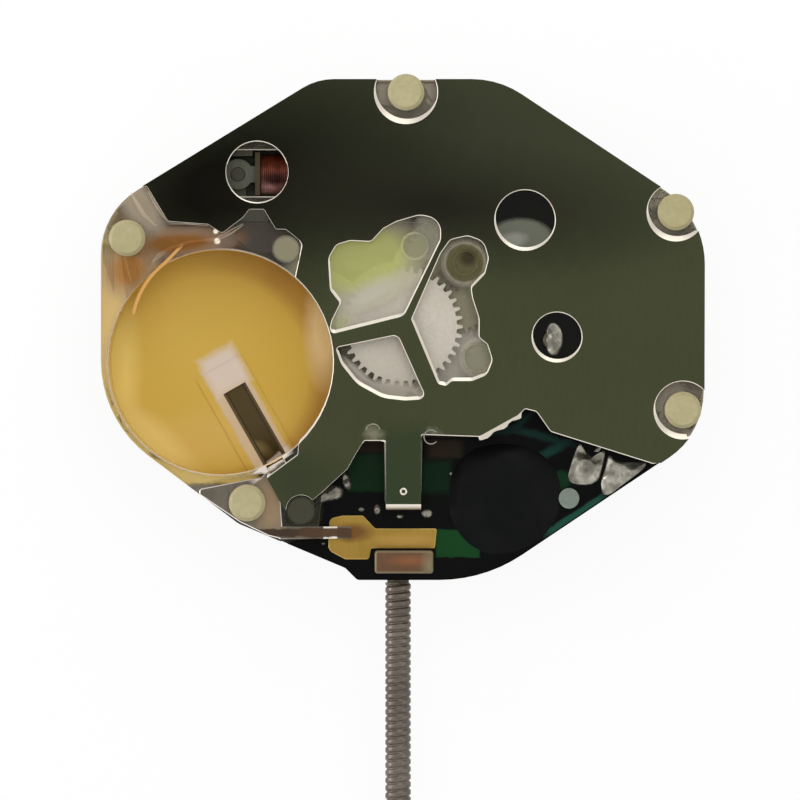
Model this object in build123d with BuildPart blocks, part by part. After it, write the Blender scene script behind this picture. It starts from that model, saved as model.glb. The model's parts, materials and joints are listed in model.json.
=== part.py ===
"""A quartz watch movement seen from its battery side, as separate pieces in millimetres.

The origin is on the axis of the hands, on the flat that the dial sits on. +Z points to the battery
side, +Y to twelve o'clock, and the winding stem leaves along -Y.
"""

import os
from math import atan2, cos, degrees, radians, sin

from build123d import *

os.makedirs("parts", exist_ok=True)

# Driving dimensions of the whole movement
body_width = 18.27
body_width_px = 605
axis_px = (402, 326)
mm_per_px = body_width / body_width_px

# Levels above the dial seat
guard_recess_depth = 0.16
motion_recess_top = 0.68
train_floor = 1.10
board_floor = 1.60
plate_top = 2.42
spacer_thickness = 0.30
board_thickness = 0.20
bridge_thickness = 0.38
cover_thickness = 0.20
board_bottom = board_floor + spacer_thickness
board_top = board_bottom + board_thickness
bridge_top = plate_top + bridge_thickness
cover_top = bridge_top + cover_thickness

# Fits and gaps
running_fit = 0.015
side_gap = 0.08
level_gap = 0.04
edge_inset = 0.05
overrun = 1.0
full_turn = 360

# Shares of a gear module and of a tooth pitch that draw one tooth
tip_share = 0.90
root_share = 1.10
root_half_share = 0.29
tip_half_share = 0.13


def at(px, py):
    """Place in millimetres of a point of the photograph."""
    return ((px - axis_px[0]) * mm_per_px, (axis_px[1] - py) * mm_per_px)


def polar(centre, distance, angle):
    """Place at a distance and an angle in degrees from a centre."""
    return (centre[0] + distance * cos(radians(angle)), centre[1] + distance * sin(radians(angle)))


def outline_face(corners_px, mode=Mode.ADD):
    """Face whose corners are photograph places, each with its rounding in the same pixels."""
    points = [at(px, py) for px, py, rounding in corners_px]
    roundings = [rounding * mm_per_px for px, py, rounding in corners_px]
    with BuildLine() as outline:
        FilletPolyline(*points, radius=roundings, close=True)
    make_face(outline.edges(), mode=mode)


def pitch_radius(teeth, module):
    """Radius of a wheel's pitch circle."""
    return teeth * module / 2


def tip_radius(teeth, module):
    """Radius of the circle through a wheel's tooth tips."""
    return pitch_radius(teeth, module) + tip_share * module


def toothed_face(teeth, module, first_tooth):
    """Face of a toothed wheel, with one tooth centred on the angle first_tooth."""
    root = pitch_radius(teeth, module) - root_share * module
    tip = tip_radius(teeth, module)
    pitch = full_turn / teeth
    corners = []
    for tooth in range(teeth):
        middle = first_tooth + tooth * pitch
        corners.append(polar((0, 0), root, middle - root_half_share * pitch))
        corners.append(polar((0, 0), tip, middle - tip_half_share * pitch))
        corners.append(polar((0, 0), tip, middle + tip_half_share * pitch))
        corners.append(polar((0, 0), root, middle + root_half_share * pitch))
    with BuildLine() as outline:
        Polyline(*corners, close=True)
    make_face(outline.edges())


def gap_facing(teeth, angle):
    """Angle of a first tooth that leaves a gap between teeth at the given angle."""
    return angle + full_turn / teeth / 2


def level_plane(place, level):
    """Horizontal plane at a level, with its origin at a place."""
    return Plane((place[0], place[1], level))


def disc(place, radius, low, high, mode=Mode.ADD):
    """Upright round solid from one level to another."""
    with BuildSketch(level_plane(place, low)) as face:
        Circle(radius)
    extrude(face.sketch, amount=high - low, mode=mode)


def turned(place, profile, mode=Mode.ADD):
    """Solid turned about the upright through a place, from (radius, level) corners."""
    with BuildSketch(Plane((place[0], place[1], 0), x_dir=(1, 0, 0), z_dir=(0, -1, 0))) as face:
        with BuildLine():
            Polyline(*profile, close=True)
        make_face()
    revolve(face.sketch, axis=Axis((place[0], place[1], 0), (0, 0, 1)), mode=mode)


def toothed(place, teeth, module, first_tooth, low, high):
    """Toothed disc from one level to another."""
    with BuildSketch(level_plane(place, low)) as face:
        toothed_face(teeth, module, first_tooth)
    extrude(face.sketch, amount=high - low)


# Outline of the movement: corners and roundings in pixels of the photograph
body_outline_px = [
    (317, 79, 60),
    (499, 79, 90),
    (705, 216, 90),
    (704.5, 434, 80),
    (485, 581, 150),
    (357, 581, 6),
    (345, 569, 6),
    (238, 524, 25),
    (100, 420, 120),
    (100, 212, 75),
]

# Posts of the main plate that carry the bridge and the cover
post_radius = 0.55
post_rise = 0.07
post_edge = 0.10
post_places_px = [(406, 92), (127, 238), (676, 212), (683, 410), (247, 503)]
post_places = [at(px, py) for px, py in post_places_px]
post_top = cover_top + post_rise

# Train: teeth, modules, axes and levels
seconds_teeth = 40
seconds_module = 0.088
fifth_pinion_teeth = 8
fifth_wheel_teeth = 48
rotor_module = 0.070
rotor_pinion_teeth = 8
third_distance = 2.07
third_wheel_teeth = 60
seconds_pinion_teeth = 8
third_pinion_teeth = 8
centre_wheel_teeth = 64
fifth_angle = 44.4
rotor_angle = 38.2
third_angle = -22.8
hands_axis = (0, 0)
fifth_distance = pitch_radius(seconds_teeth + fifth_pinion_teeth, seconds_module)
rotor_distance = pitch_radius(fifth_wheel_teeth + rotor_pinion_teeth, rotor_module)
third_module = 2 * third_distance / (third_wheel_teeth + seconds_pinion_teeth)
centre_module = 2 * third_distance / (third_pinion_teeth + centre_wheel_teeth)
fifth_axis = polar(hands_axis, fifth_distance, fifth_angle)
rotor_axis = polar(fifth_axis, rotor_distance, rotor_angle)
third_axis = polar(hands_axis, third_distance, third_angle)
seconds_wheel_radius = tip_radius(seconds_teeth, seconds_module)
fifth_wheel_radius = tip_radius(fifth_wheel_teeth, rotor_module)
third_wheel_radius = tip_radius(third_wheel_teeth, third_module)
centre_wheel_radius = tip_radius(centre_wheel_teeth, centre_module)
wheel_thickness = 0.11
centre_wheel_bottom = 1.30
centre_wheel_top = centre_wheel_bottom + wheel_thickness
bridge_seat = 1.50
centre_bridge_thickness = 0.10
centre_bridge_top = bridge_seat + centre_bridge_thickness
third_wheel_bottom = 1.68
fifth_wheel_bottom = 1.99
seconds_wheel_bottom = 2.24
pinion_spare = 0.06
arbor_radius = 0.10
pivot_depth = 0.18
arbor_top = plate_top + pivot_depth
pivot_bore = arbor_radius + running_fit
pivot_bore_top = arbor_top + level_gap

# Stack of tubes and pipes on the hands' axis, from the dial side
seconds_tip_radius = 0.085
seconds_arbor_radius = 0.095
seconds_tip_bottom = -2.05
seconds_tip_top = -1.50
seconds_taper_top = -0.94
tube_bottom = -0.90
tube_outer_radius = 0.185
tube_bore = seconds_arbor_radius + running_fit
minute_seat_radius = 0.35
minute_seat_bottom = -1.50
minute_seat_top = -1.05
cannon_cone_radius = 0.41
hour_bore = cannon_cone_radius + running_fit
hour_seat_radius = 0.60
hour_seat_bottom = -1.00
hour_seat_top = -0.45
hour_collar_radius = 0.80
pipe_bore = tube_outer_radius + running_fit
centre_pipe_radius = 0.30
web_bore = centre_pipe_radius + running_fit

# Motion work below the web
motion_module = 0.11
cannon_teeth = 10
minute_wheel_teeth = 30
minute_pinion_teeth = 8
hour_wheel_teeth = 32
minute_angle = -47.0
motion_wheel_thickness = 0.12
hour_wheel_bottom = 0.20
minute_wheel_bottom = 0.40
hour_wheel_top = hour_wheel_bottom + motion_wheel_thickness
minute_wheel_top = minute_wheel_bottom + motion_wheel_thickness
minute_distance = pitch_radius(cannon_teeth + minute_wheel_teeth, motion_module)
minute_axis = polar(hands_axis, minute_distance, minute_angle)
hour_wheel_radius = tip_radius(hour_wheel_teeth, motion_module)
minute_wheel_radius = tip_radius(minute_wheel_teeth, motion_module)
minute_stud_radius = 0.15

# Winding and setting works
stem_x = -0.12
stem_level = 1.05
stem_thread_radius = 0.39
stem_thread_root = 0.33
thread_pitch = 0.232
stem_tip_y = -18.50
stem_shoulder_radius = 0.36
stem_bore = stem_shoulder_radius + running_fit
stem_neck_radius = 0.22
stem_neck_top_y = -5.30
stem_neck_width = 0.30
stem_square = 0.38
stem_square_top_y = -3.10
stem_pilot_radius = 0.18
stem_pilot_top_y = -2.35
stem_travel = 0.90
stem_taper_top_y = -7.25
stem_exit_y = -7.75
sliding_radius = 0.62
sliding_teeth = 12
sliding_inner_y = -4.00
sliding_length = 1.00
contrate_depth = 0.14
contrate_width = 0.20
setting_wheel_teeth = 12
setting_wheel_x = -0.385
setting_wheel_y = -3.37
setting_swing_x = 0.385
setting_wheel_radius = tip_radius(setting_wheel_teeth, motion_module)
setting_place = (setting_wheel_x, setting_wheel_y)
yoke_place = (setting_wheel_x + setting_swing_x / 2, -2.55)
yoke_bottom = 0.56
yoke_thickness = 0.09
yoke_top = yoke_bottom + yoke_thickness
yoke_arm = ((setting_swing_x / 2) ** 2 + (yoke_place[1] - setting_wheel_y) ** 2) ** 0.5
# With the stem pulled out, a tooth of the setting wheel faces a gap of the minute wheel
setting_pulled = (setting_wheel_x + setting_swing_x, setting_wheel_y)
yoke_swing = 2 * degrees(atan2(setting_swing_x / 2, yoke_place[1] - setting_wheel_y))
mesh_angle = degrees(atan2(minute_axis[1] - setting_pulled[1], minute_axis[0] - setting_pulled[0]))
minute_phase = gap_facing(minute_wheel_teeth, minute_angle + full_turn / 2)
minute_gaps = (mesh_angle + full_turn / 2 - minute_phase) * minute_wheel_teeth / full_turn
setting_phase = mesh_angle + (minute_gaps - 0.5) * full_turn / setting_wheel_teeth - yoke_swing
yoke_width = 0.60
yoke_stud_radius = 0.12
setting_stud_radius = 0.13
lever_place = (2.50, -5.90)
lever_bottom = 1.46
lever_thickness = 0.12
lever_top = lever_bottom + lever_thickness
lever_pin_radius = 0.18
lever_width = 0.40
lever_hub_radius = 0.36
lever_peg_radius = 0.10
lever_tail = 0.55
lever_pocket_low = (-0.62, -6.80)
lever_pocket_high = (3.42, -5.05)
jumper_width = 0.14
jumper_foot = 0.26

# Battery well and the parts in it
well_centre_px = (220, 362)
well_place = at(*well_centre_px)
film_radius = 3.44
film_wall = 0.04
film_fit = 0.01
film_floor = 0.30
film_floor_thickness = 0.06
film_wall_top = 2.30
well_radius = film_radius + film_fit
slot_head_px = (232, 388)
slot_foot_px = (273, 460)
slot_head = at(*slot_head_px)
slot_foot = at(*slot_foot_px)
slot_width = 0.77
slot_length = ((slot_foot[0] - slot_head[0]) ** 2 + (slot_foot[1] - slot_head[1]) ** 2) ** 0.5
slot_middle = ((slot_head[0] + slot_foot[0]) / 2, (slot_head[1] + slot_foot[1]) / 2)
slot_along = ((slot_foot[0] - slot_head[0]) / slot_length, (slot_foot[1] - slot_head[1]) / slot_length)
slot_rim_rise = 0.05
slot_rim_left = 0.50
slot_rim_right = 0.30
slot_rim_head = 0.80
leaf_width = 0.52
leaf_thickness = 0.08
leaf_bottom = 0.19
leaf_strip_start = 0.12
leaf_strip_end = leaf_strip_start + leaf_thickness
leaf_notch_end = 0.85
terminal_thickness = 0.10
terminal_top = plate_top + terminal_thickness
channel_gap = 0.05
channel_bottom = 0.15

# Motor: coil, core, stator and rotor
coil_y = 4.62
coil_start_x = -4.30
coil_end_x = 1.55
winding_radius = 0.62
core_thickness = 0.40
core_width = 0.50
flange_thickness = 0.15
flange_half = 0.65
left_lug_x = -4.98
right_lug_x = 2.35
lug_radius = 0.46
lug_pin_radius = 0.20
stator_thickness = 0.40
stator_hole = 0.85
stator_body_radius = 1.40
stator_arm_low_y = 3.20
stator_arm_high_y = 3.72
stator_top = train_floor + stator_thickness
core_top = stator_top + core_thickness
winding_level = stator_top + core_thickness / 2
coil_floor = winding_level - flange_half - level_gap
magnet_radius = 0.62
magnet_height = 0.50
magnet_bottom = 1.04
rotor_pocket_floor = 0.98
rotor_bore_bottom = 0.80

# Quartz crystal, dial feet, guard and screws
crystal_x = 6.60
crystal_radius = 0.75
crystal_level = 1.36
crystal_bottom_y = -2.55
crystal_top_y = 1.80
crystal_room_lap = 0.25
lead_radius = 0.07
lead_spread = 0.25
dial_foot_radius = 0.375
dial_foot_depth = 1.20
dial_foot_places = [(5.20, 4.00), (-2.90, -4.90)]
guard_thickness = 0.09
screw_head_radius = 0.34
screw_head_thickness = 0.06
screw_shank_radius = 0.17
screw_length = 0.70
screw_slot_width = 0.09
screw_slot_depth = 0.03
well_screw_gap = 0.70
well_screw_angle = -26.8
well_screw_place = polar(well_place, film_radius + well_screw_gap, well_screw_angle)
guard_screw_places = [(-0.60, 2.50), (3.65, -0.35), well_screw_place]
guard_ear_radius = 0.50
locating_pin_radius = 0.30
locating_pin_rise = 0.12
locating_pin_px = (552, 340)
locating_place = at(*locating_pin_px)

# Circuit board region and what is on it
board_seat_top_px = 436
board_seat_px = [
    (322, 486, 0),
    (350, 455, 0),
    (364, board_seat_top_px, 0),
    (473, board_seat_top_px, 0),
    (514, 412, 0),
    (522, 403, 0),
    (541, 405, 0),
    (562, board_seat_top_px, 0),
    (740, board_seat_top_px, 0),
    (740, 660, 0),
    (276, 660, 0),
    (276, 543, 0),
    (318, 530, 0),
]
board_gap_px = [
    (326, 488, 5),
    (353, 457, 5),
    (366, 439, 5),
    (475, 439, 3),
    (516, 415, 3),
    (524, 406, 3),
    (539, 408, 3),
    (560, 439, 3),
    (740, 439, 0),
    (740, 660, 0),
    (279, 660, 0),
    (279, 547, 0),
    (322, 533, 3),
]
resin_centre_px = (503, 500)
resin_place = at(*resin_centre_px)
resin_radius = 1.62
resin_height = 0.42
block_bottom_left_px = (374.5, 574)
block_top_right_px = (433.5, 551)
block_height = 0.34
contact_pad_thickness = 0.06
contact_pad_px = [
    (329, 519, 6),
    (342, 516, 4),
    (363, 516, 4),
    (375, 529, 4),
    (437, 529, 2),
    (435, 549, 2),
    (371, 549, 2),
    (369, 560, 3),
    (345, 560, 6),
    (328, 551, 8),
]
solder_thickness = 0.09
solder_left_px = [(581, 446, 3), (606, 452, 3), (599, 483, 4), (568, 481, 3)]
solder_right_px = [(611, 457, 3), (645, 463, 2), (645, 468, 2), (604, 495, 3)]
test_dot_px = (569.7, 498.8)
test_dot_place = at(*test_dot_px)
test_dot_radius = 0.31

# Windows and holes of the cover and the bridge, in pixels of the photograph
window_left_px = [
    (328, 335, 5),
    (331.5, 320, 8),
    (340, 303, 4),
    (330, 290, 8),
    (328, 258, 14),
    (336, 244, 10),
    (350, 240, 8),
    (371, 241, 6),
    (383, 228, 8),
    (396, 221, 10),
    (420, 214, 22),
    (441, 219, 16),
    (441, 240, 16),
    (404, 316, 10),
]
window_right_px = [
    (411, 319, 5),
    (440, 253, 12),
    (450, 239, 10),
    (468, 235, 12),
    (484, 241, 14),
    (489, 258, 12),
    (485, 274, 8),
    (471.5, 288, 4),
    (473, 298, 10),
    (479.5, 318, 20),
    (479.5, 337, 4),
    (488, 344, 8),
    (493, 360, 12),
    (487, 375, 10),
    (472, 381, 8),
    (452, 381, 5),
    (446, 386, 4),
    (438, 384, 5),
]
window_low_px = [
    (335, 347, 4),
    (341, 364, 20),
    (357, 384, 30),
    (383, 398, 30),
    (405, 400.5, 30),
    (427, 399, 6),
    (398, 334, 8),
]
coil_hole_px = (257, 172)
coil_hole_place = at(*coil_hole_px)
coil_hole_radius = 0.95
rotor_hole_px = (525, 220)
rotor_hole_place = at(*rotor_hole_px)
rotor_hole_radius = 0.93
pin_hole_px = (557, 337)
pin_hole_place = at(*pin_hole_px)
pin_hole_radius = 0.77
cover_well_radius = 3.44
top_notch_radius = 0.97
side_notch_radius = 0.89
cover_upper_cut_px = [
    (40, 186, 0),
    (147, 186, 3),
    (168, 221, 4),
    (208, 224, 4),
    (222, 233, 4),
    (243, 217, 4),
    (249, 209, 3),
    (264, 209, 3),
    (276, 229, 3),
    (286, 229, 5),
    (303, 243, 8),
    (293, 290, 0),
    (220, 362, 0),
    (150, 486, 0),
    (40, 486, 0),
]
cover_lower_cut_px = [
    (760, 463, 0),
    (653, 463, 4),
    (551, 431, 6),
    (537, 411, 6),
    (525, 408, 3),
    (518, 415, 3),
    (480, 436, 6),
    (421, 434, 2),
    (421, 510, 0),
    (386, 510, 0),
    (386, 440, 2),
    (364, 440, 3),
    (356, 453, 3),
    (347, 469, 3),
    (324, 490, 5),
    (310, 502, 4),
    (285, 511, 3),
    (267, 478, 3),
    (298, 455, 4),
    (299, 441, 0),
    (220, 420, 0),
    (40, 400, 0),
    (40, 700, 0),
    (760, 700, 0),
]
tab_foot_px = (403.5, 505)
tab_foot_size_px = (35, 10)
bridge_cut_px = [
    (60, 484, 0),
    (190, 485, 3),
    (262, 472, 3),
    (277, 475, 2),
    (284, 499, 3),
    (284, 525, 3),
    (318, 525, 3),
    (322, 492, 4),
    (350, 457, 4),
    (364, 432, 4),
    (472, 432, 3),
    (512, 408, 3),
    (520, 399, 3),
    (543, 401, 3),
    (564, 432, 3),
    (760, 432, 0),
    (760, 700, 0),
    (60, 700, 0),
]
clear_post_places_px = [(285, 249), (301, 510)]
clear_post_places = [at(px, py) for px, py in clear_post_places_px]
clear_post_radius = 0.42
terminal_px = [
    (195, 491, 3),
    (262, 478, 3),
    (267, 470, 1),
    (283, 460.5, 1),
    (286, 466, 1),
    (278, 484, 3),
    (281, 527, 2),
    (283, 539, 2),
    (268, 535, 4),
    (240, 521.5, 8),
]
finger_start_px = (280, 527)
finger_end_px = (351, 539)
finger_bend_px = (323, 337)
spring_width = 0.10
spring_bottom = 2.46
spring_top = 2.76
spring_angles = [107.4, 118.8, 131.2, 143.2, 151.1]
spring_offsets = [0.30, 0.0, -0.19, -0.31, -0.44]

slot_plane = Plane((slot_middle[0], slot_middle[1], 0), x_dir=(slot_along[0], slot_along[1], 0))
foot_plane = Plane((slot_foot[0], slot_foot[1], 0), x_dir=(slot_along[0], slot_along[1], 0))


def stem_plane(y):
    """Plane square to the stem at a place along it, facing the way that the stem leaves."""
    return Plane((stem_x, y, stem_level), x_dir=(1, 0, 0), z_dir=(0, -1, 0))


def round_along_stem(radius, start_y, end_y, mode=Mode.ADD):
    """Round solid on the stem's axis between two places along it."""
    with BuildSketch(stem_plane(start_y)) as face:
        Circle(radius)
    extrude(face.sketch, amount=start_y - end_y, mode=mode)


def leaf_channel(start, end, low, high, mode=Mode.SUBTRACT, width=leaf_width + 2 * channel_gap):
    """Straight bar along the slot's direction, measured from the slot's foot."""
    with BuildSketch(foot_plane.offset(low)) as face:
        with Locations(((start + end) / 2, 0)):
            Rectangle(end - start, width)
    extrude(face.sketch, amount=high - low, mode=mode)


def rectangle_between(corner_low, corner_high, mode=Mode.ADD):
    """Rectangle with its sides along X and Y, between two opposite corners."""
    middle = ((corner_low[0] + corner_high[0]) / 2, (corner_low[1] + corner_high[1]) / 2)
    with Locations(middle):
        Rectangle(corner_high[0] - corner_low[0], corner_high[1] - corner_low[1], mode=mode)


# Main plate: floor, walls, posts, pockets and bearings
centre_bridge_arms = [(fifth_angle, 2.28), (150, 2.75), (262, 2.70)]
centre_bridge_half = 0.36
train_gap = 0.10


def arm_face(angle, length, half_width):
    """Round-ended bar from the hands' axis outwards at an angle."""
    with Locations(polar(hands_axis, length / 2, angle)):
        SlotCenterToCenter(length, 2 * half_width, rotation=angle)


def guard_face(spread):
    """Outline of the motion work guard, spread outwards by a gap."""
    with BuildLine() as rounds:
        CenterArc(hands_axis, hour_wheel_radius + 3 * side_gap + spread, 0, full_turn)
        CenterArc(minute_axis, minute_wheel_radius + 3 * side_gap + spread, 0, full_turn)
        CenterArc(setting_place, setting_wheel_radius + 4 * side_gap + spread, 0, full_turn)
        for place in guard_screw_places:
            CenterArc(place, guard_ear_radius + spread, 0, full_turn)
    make_hull(rounds.edges())


with BuildPart() as main_plate:
    with BuildSketch():
        outline_face(body_outline_px)
    extrude(amount=plate_top)
    # Room for the board and its spacer
    with BuildSketch(Plane.XY.offset(board_floor)):
        outline_face(board_seat_px)
    extrude(amount=plate_top - board_floor + overrun, mode=Mode.SUBTRACT)
    # Battery well, with the channel of the negative leaf
    disc(well_place, well_radius, film_floor, plate_top + overrun, Mode.SUBTRACT)
    leaf_channel(-slot_length - channel_gap, leaf_strip_end + channel_gap, channel_bottom, film_floor + level_gap)
    leaf_channel(-side_gap, leaf_strip_end + channel_gap, channel_bottom, plate_top + overrun)
    # Room for the train, one round pocket for each wheel
    for place, radius, floor in [
        (hands_axis, centre_wheel_radius, train_floor),
        (third_axis, tip_radius(third_pinion_teeth, centre_module), train_floor),
        (third_axis, third_wheel_radius, bridge_seat),
        (fifth_axis, fifth_wheel_radius, bridge_seat),
    ]:
        disc(place, radius + train_gap, floor, plate_top + overrun, Mode.SUBTRACT)
    for angle, length in centre_bridge_arms:
        with BuildSketch(Plane.XY.offset(bridge_seat)):
            arm_face(angle, length, centre_bridge_half + edge_inset)
        extrude(amount=plate_top - bridge_seat + overrun, mode=Mode.SUBTRACT)
    # Room for the stator, the core and the coil
    with BuildSketch(Plane.XY.offset(train_floor)):
        rectangle_between(
            (left_lug_x - lug_radius - side_gap, stator_arm_low_y - side_gap),
            (right_lug_x + lug_radius + side_gap, coil_y + lug_radius + side_gap),
        )
        with Locations(rotor_axis):
            Circle(stator_body_radius + side_gap)
    extrude(amount=plate_top - train_floor + overrun, mode=Mode.SUBTRACT)
    with BuildSketch(Plane.XY.offset(coil_floor)):
        rectangle_between(
            (coil_start_x - flange_thickness - side_gap, coil_y - flange_half - side_gap),
            (coil_end_x + flange_thickness + side_gap, coil_y + flange_half + side_gap),
        )
    extrude(amount=plate_top - coil_floor + overrun, mode=Mode.SUBTRACT)
    disc(rotor_axis, magnet_radius + side_gap, rotor_pocket_floor, train_floor, Mode.SUBTRACT)
    disc(rotor_axis, pivot_bore, rotor_bore_bottom, rotor_pocket_floor, Mode.SUBTRACT)
    for lug_x in (left_lug_x, right_lug_x):
        disc((lug_x, coil_y), lug_pin_radius, train_floor, core_top + side_gap)
    # Room for the quartz crystal and its leads
    with BuildSketch(Plane.XY.offset(crystal_level - crystal_radius - level_gap)):
        rectangle_between(
            (crystal_x - crystal_radius - side_gap, at(0, board_seat_top_px)[1] - crystal_room_lap),
            (crystal_x + crystal_radius + side_gap, crystal_top_y + side_gap),
        )
    extrude(amount=plate_top + overrun, mode=Mode.SUBTRACT)
    # Bearings of the third arbor, of the centre pipe and the hole for the locating pin
    disc(third_axis, pivot_bore, motion_recess_top + side_gap, train_floor, Mode.SUBTRACT)
    disc(locating_place, locating_pin_radius, train_floor, plate_top + overrun, Mode.SUBTRACT)
    # Dial side: the guard's recess, then the room of the motion work and of the yoke
    with BuildSketch():
        guard_face(edge_inset)
    extrude(amount=guard_recess_depth, mode=Mode.SUBTRACT)
    for place, radius in [
        (hands_axis, hour_wheel_radius + side_gap),
        (minute_axis, minute_wheel_radius + side_gap),
        (setting_place, setting_wheel_radius + side_gap),
        (setting_pulled, setting_wheel_radius + side_gap),
    ]:
        disc(place, radius, 0, motion_recess_top, Mode.SUBTRACT)
    disc(yoke_place, yoke_arm + yoke_width / 2 + side_gap, yoke_bottom - level_gap, motion_recess_top, Mode.SUBTRACT)
    disc(hands_axis, web_bore, 0, train_floor, Mode.SUBTRACT)
    disc(minute_axis, minute_stud_radius, minute_wheel_bottom - 3 * level_gap, motion_recess_top + level_gap)
    disc(yoke_place, yoke_stud_radius, yoke_bottom - level_gap, motion_recess_top + level_gap)
    # Stem's bores and the room of the sliding pinion, the setting lever and its jumper
    round_along_stem(stem_pilot_radius + running_fit, stem_pilot_top_y + side_gap, sliding_inner_y, Mode.SUBTRACT)
    round_along_stem(
        stem_square / 2**0.5 + running_fit,
        stem_square_top_y + side_gap,
        sliding_inner_y,
        Mode.SUBTRACT,
    )
    round_along_stem(
        sliding_radius + side_gap,
        sliding_inner_y + side_gap,
        sliding_inner_y - contrate_depth - sliding_length - side_gap,
        Mode.SUBTRACT,
    )
    round_along_stem(stem_bore, stem_exit_y - overrun, sliding_inner_y, Mode.SUBTRACT)
    with BuildSketch(Plane.XY.offset(stem_level)):
        rectangle_between(
            (stem_x - stem_bore, stem_neck_top_y - stem_neck_width - stem_travel - side_gap),
            (stem_x + stem_bore, stem_neck_top_y + side_gap),
        )
    extrude(amount=board_floor, mode=Mode.SUBTRACT)
    with BuildSketch(Plane.XY.offset(lever_bottom - level_gap / 2)):
        rectangle_between(lever_pocket_low, lever_pocket_high)
    extrude(amount=board_floor, mode=Mode.SUBTRACT)
    disc(lever_place, lever_pin_radius, train_floor, lever_bottom, Mode.SUBTRACT)
    # Dial feet and guard screws
    for place in dial_foot_places:
        disc(place, dial_foot_radius, 0, dial_foot_depth, Mode.SUBTRACT)
    for place in guard_screw_places:
        disc(place, screw_shank_radius, 0, screw_length, Mode.SUBTRACT)
    # Posts with their headed tops
    for place in post_places:
        turned(
            place,
            [
                (0, plate_top),
                (post_radius, plate_top),
                (post_radius, post_top - post_edge),
                (post_radius - post_edge, post_top),
                (0, post_top),
            ],
        )
main_plate.part.label = "main_plate"
export_step(main_plate.part, "parts/main_plate.step")

# Black spacer under the circuit board
with BuildPart() as circuit_spacer:
    with BuildSketch(Plane.XY.offset(board_floor)):
        outline_face(body_outline_px)
        outline_face(board_gap_px, mode=Mode.INTERSECT)
        rectangle_between(
            (stem_x - sliding_radius - side_gap, sliding_inner_y - sliding_length - 2 * contrate_depth),
            (stem_x + sliding_radius + side_gap, sliding_inner_y + side_gap),
            Mode.SUBTRACT,
        )
    extrude(amount=spacer_thickness)
circuit_spacer.part.label = "circuit_spacer"
export_step(circuit_spacer.part, "parts/circuit_spacer.step")

# Green circuit board, a little inside the spacer's edge
with BuildPart() as circuit_board:
    with BuildSketch(Plane.XY.offset(board_bottom)):
        outline_face(body_outline_px)
        offset(amount=-edge_inset)
        outline_face(board_gap_px, mode=Mode.INTERSECT)
    extrude(amount=board_thickness)
circuit_board.part.label = "circuit_board"
export_step(circuit_board.part, "parts/circuit_board.step")

# Resin drop over the chip, a cap of a ball
resin_ball = (resin_radius**2 + resin_height**2) / (2 * resin_height)
resin_half_level = board_top + resin_height - resin_ball + (resin_ball**2 - resin_radius**2 / 4) ** 0.5
with BuildPart() as ic_resin:
    with BuildSketch(Plane((resin_place[0], resin_place[1], 0), x_dir=(1, 0, 0), z_dir=(0, -1, 0))):
        with BuildLine():
            Line((0, board_top), (resin_radius, board_top))
            ThreePointArc(
                (resin_radius, board_top),
                (resin_radius / 2, resin_half_level),
                (0, board_top + resin_height),
            )
            Line((0, board_top + resin_height), (0, board_top))
        make_face()
    revolve(axis=Axis((resin_place[0], resin_place[1], 0), (0, 0, 1)))
ic_resin.part.label = "ic_resin"
export_step(ic_resin.part, "parts/ic_resin.step")

# Solder of the crystal's leads
with BuildPart() as solder_pads:
    with BuildSketch(Plane.XY.offset(board_top)):
        outline_face(solder_left_px)
        outline_face(solder_right_px)
    extrude(amount=solder_thickness)
solder_pads.part.label = "solder_pads"
export_step(solder_pads.part, "parts/solder_pads.step")

# Round test pad of the board
with BuildPart() as test_pad:
    disc(test_dot_place, test_dot_radius, board_top, board_top + contact_pad_thickness)
test_pad.part.label = "test_pad"
export_step(test_pad.part, "parts/test_pad.step")

# Gold pad that the negative terminal presses on
contact_top = board_top + contact_pad_thickness
with BuildPart() as contact_pad:
    with BuildSketch(Plane.XY.offset(board_top)):
        outline_face(contact_pad_px)
    extrude(amount=contact_pad_thickness)
contact_pad.part.label = "contact_pad"
export_step(contact_pad.part, "parts/contact_pad.step")

# Reset contact block at the edge beside the stem
with BuildPart() as reset_contact:
    with BuildSketch(Plane.XY.offset(board_top)):
        rectangle_between(at(*block_bottom_left_px), at(*block_top_right_px))
    extrude(amount=block_height)
reset_contact.part.label = "reset_contact"
export_step(reset_contact.part, "parts/reset_contact.step")

# Negative terminal: plate under its post, tongue, strip down the wall, leaf below the film and finger
finger_start = at(*finger_start_px)
finger_end = at(*finger_end_px)
finger_bend = [at(px, finger_start_px[1])[0] for px in finger_bend_px]
with BuildPart() as negative_terminal:
    with BuildSketch(Plane.XY.offset(plate_top)):
        outline_face(terminal_px)
    extrude(amount=terminal_thickness)
    leaf_channel(leaf_strip_start, leaf_strip_end, leaf_bottom, terminal_top, Mode.ADD, leaf_width)
    leaf_channel(
        -slot_length,
        leaf_strip_end,
        leaf_bottom,
        leaf_bottom + leaf_thickness,
        Mode.ADD,
        leaf_width,
    )
    with BuildSketch(Plane((0, finger_start[1], 0), x_dir=(1, 0, 0), z_dir=(0, -1, 0))):
        with BuildLine():
            Polyline(
                (finger_start[0], plate_top),
                (finger_bend[0], plate_top),
                (finger_bend[1], contact_top),
                (finger_end[0], contact_top),
                (finger_end[0], contact_top + terminal_thickness),
                (finger_bend[1], contact_top + terminal_thickness),
                (finger_bend[0], terminal_top),
                (finger_start[0], terminal_top),
                close=True,
            )
        make_face()
    extrude(amount=finger_start[1] - finger_end[1])
    disc(post_places[4], post_radius + running_fit, plate_top, terminal_top, Mode.SUBTRACT)
negative_terminal.part.label = "negative_terminal"
export_step(negative_terminal.part, "parts/negative_terminal.step")

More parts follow.
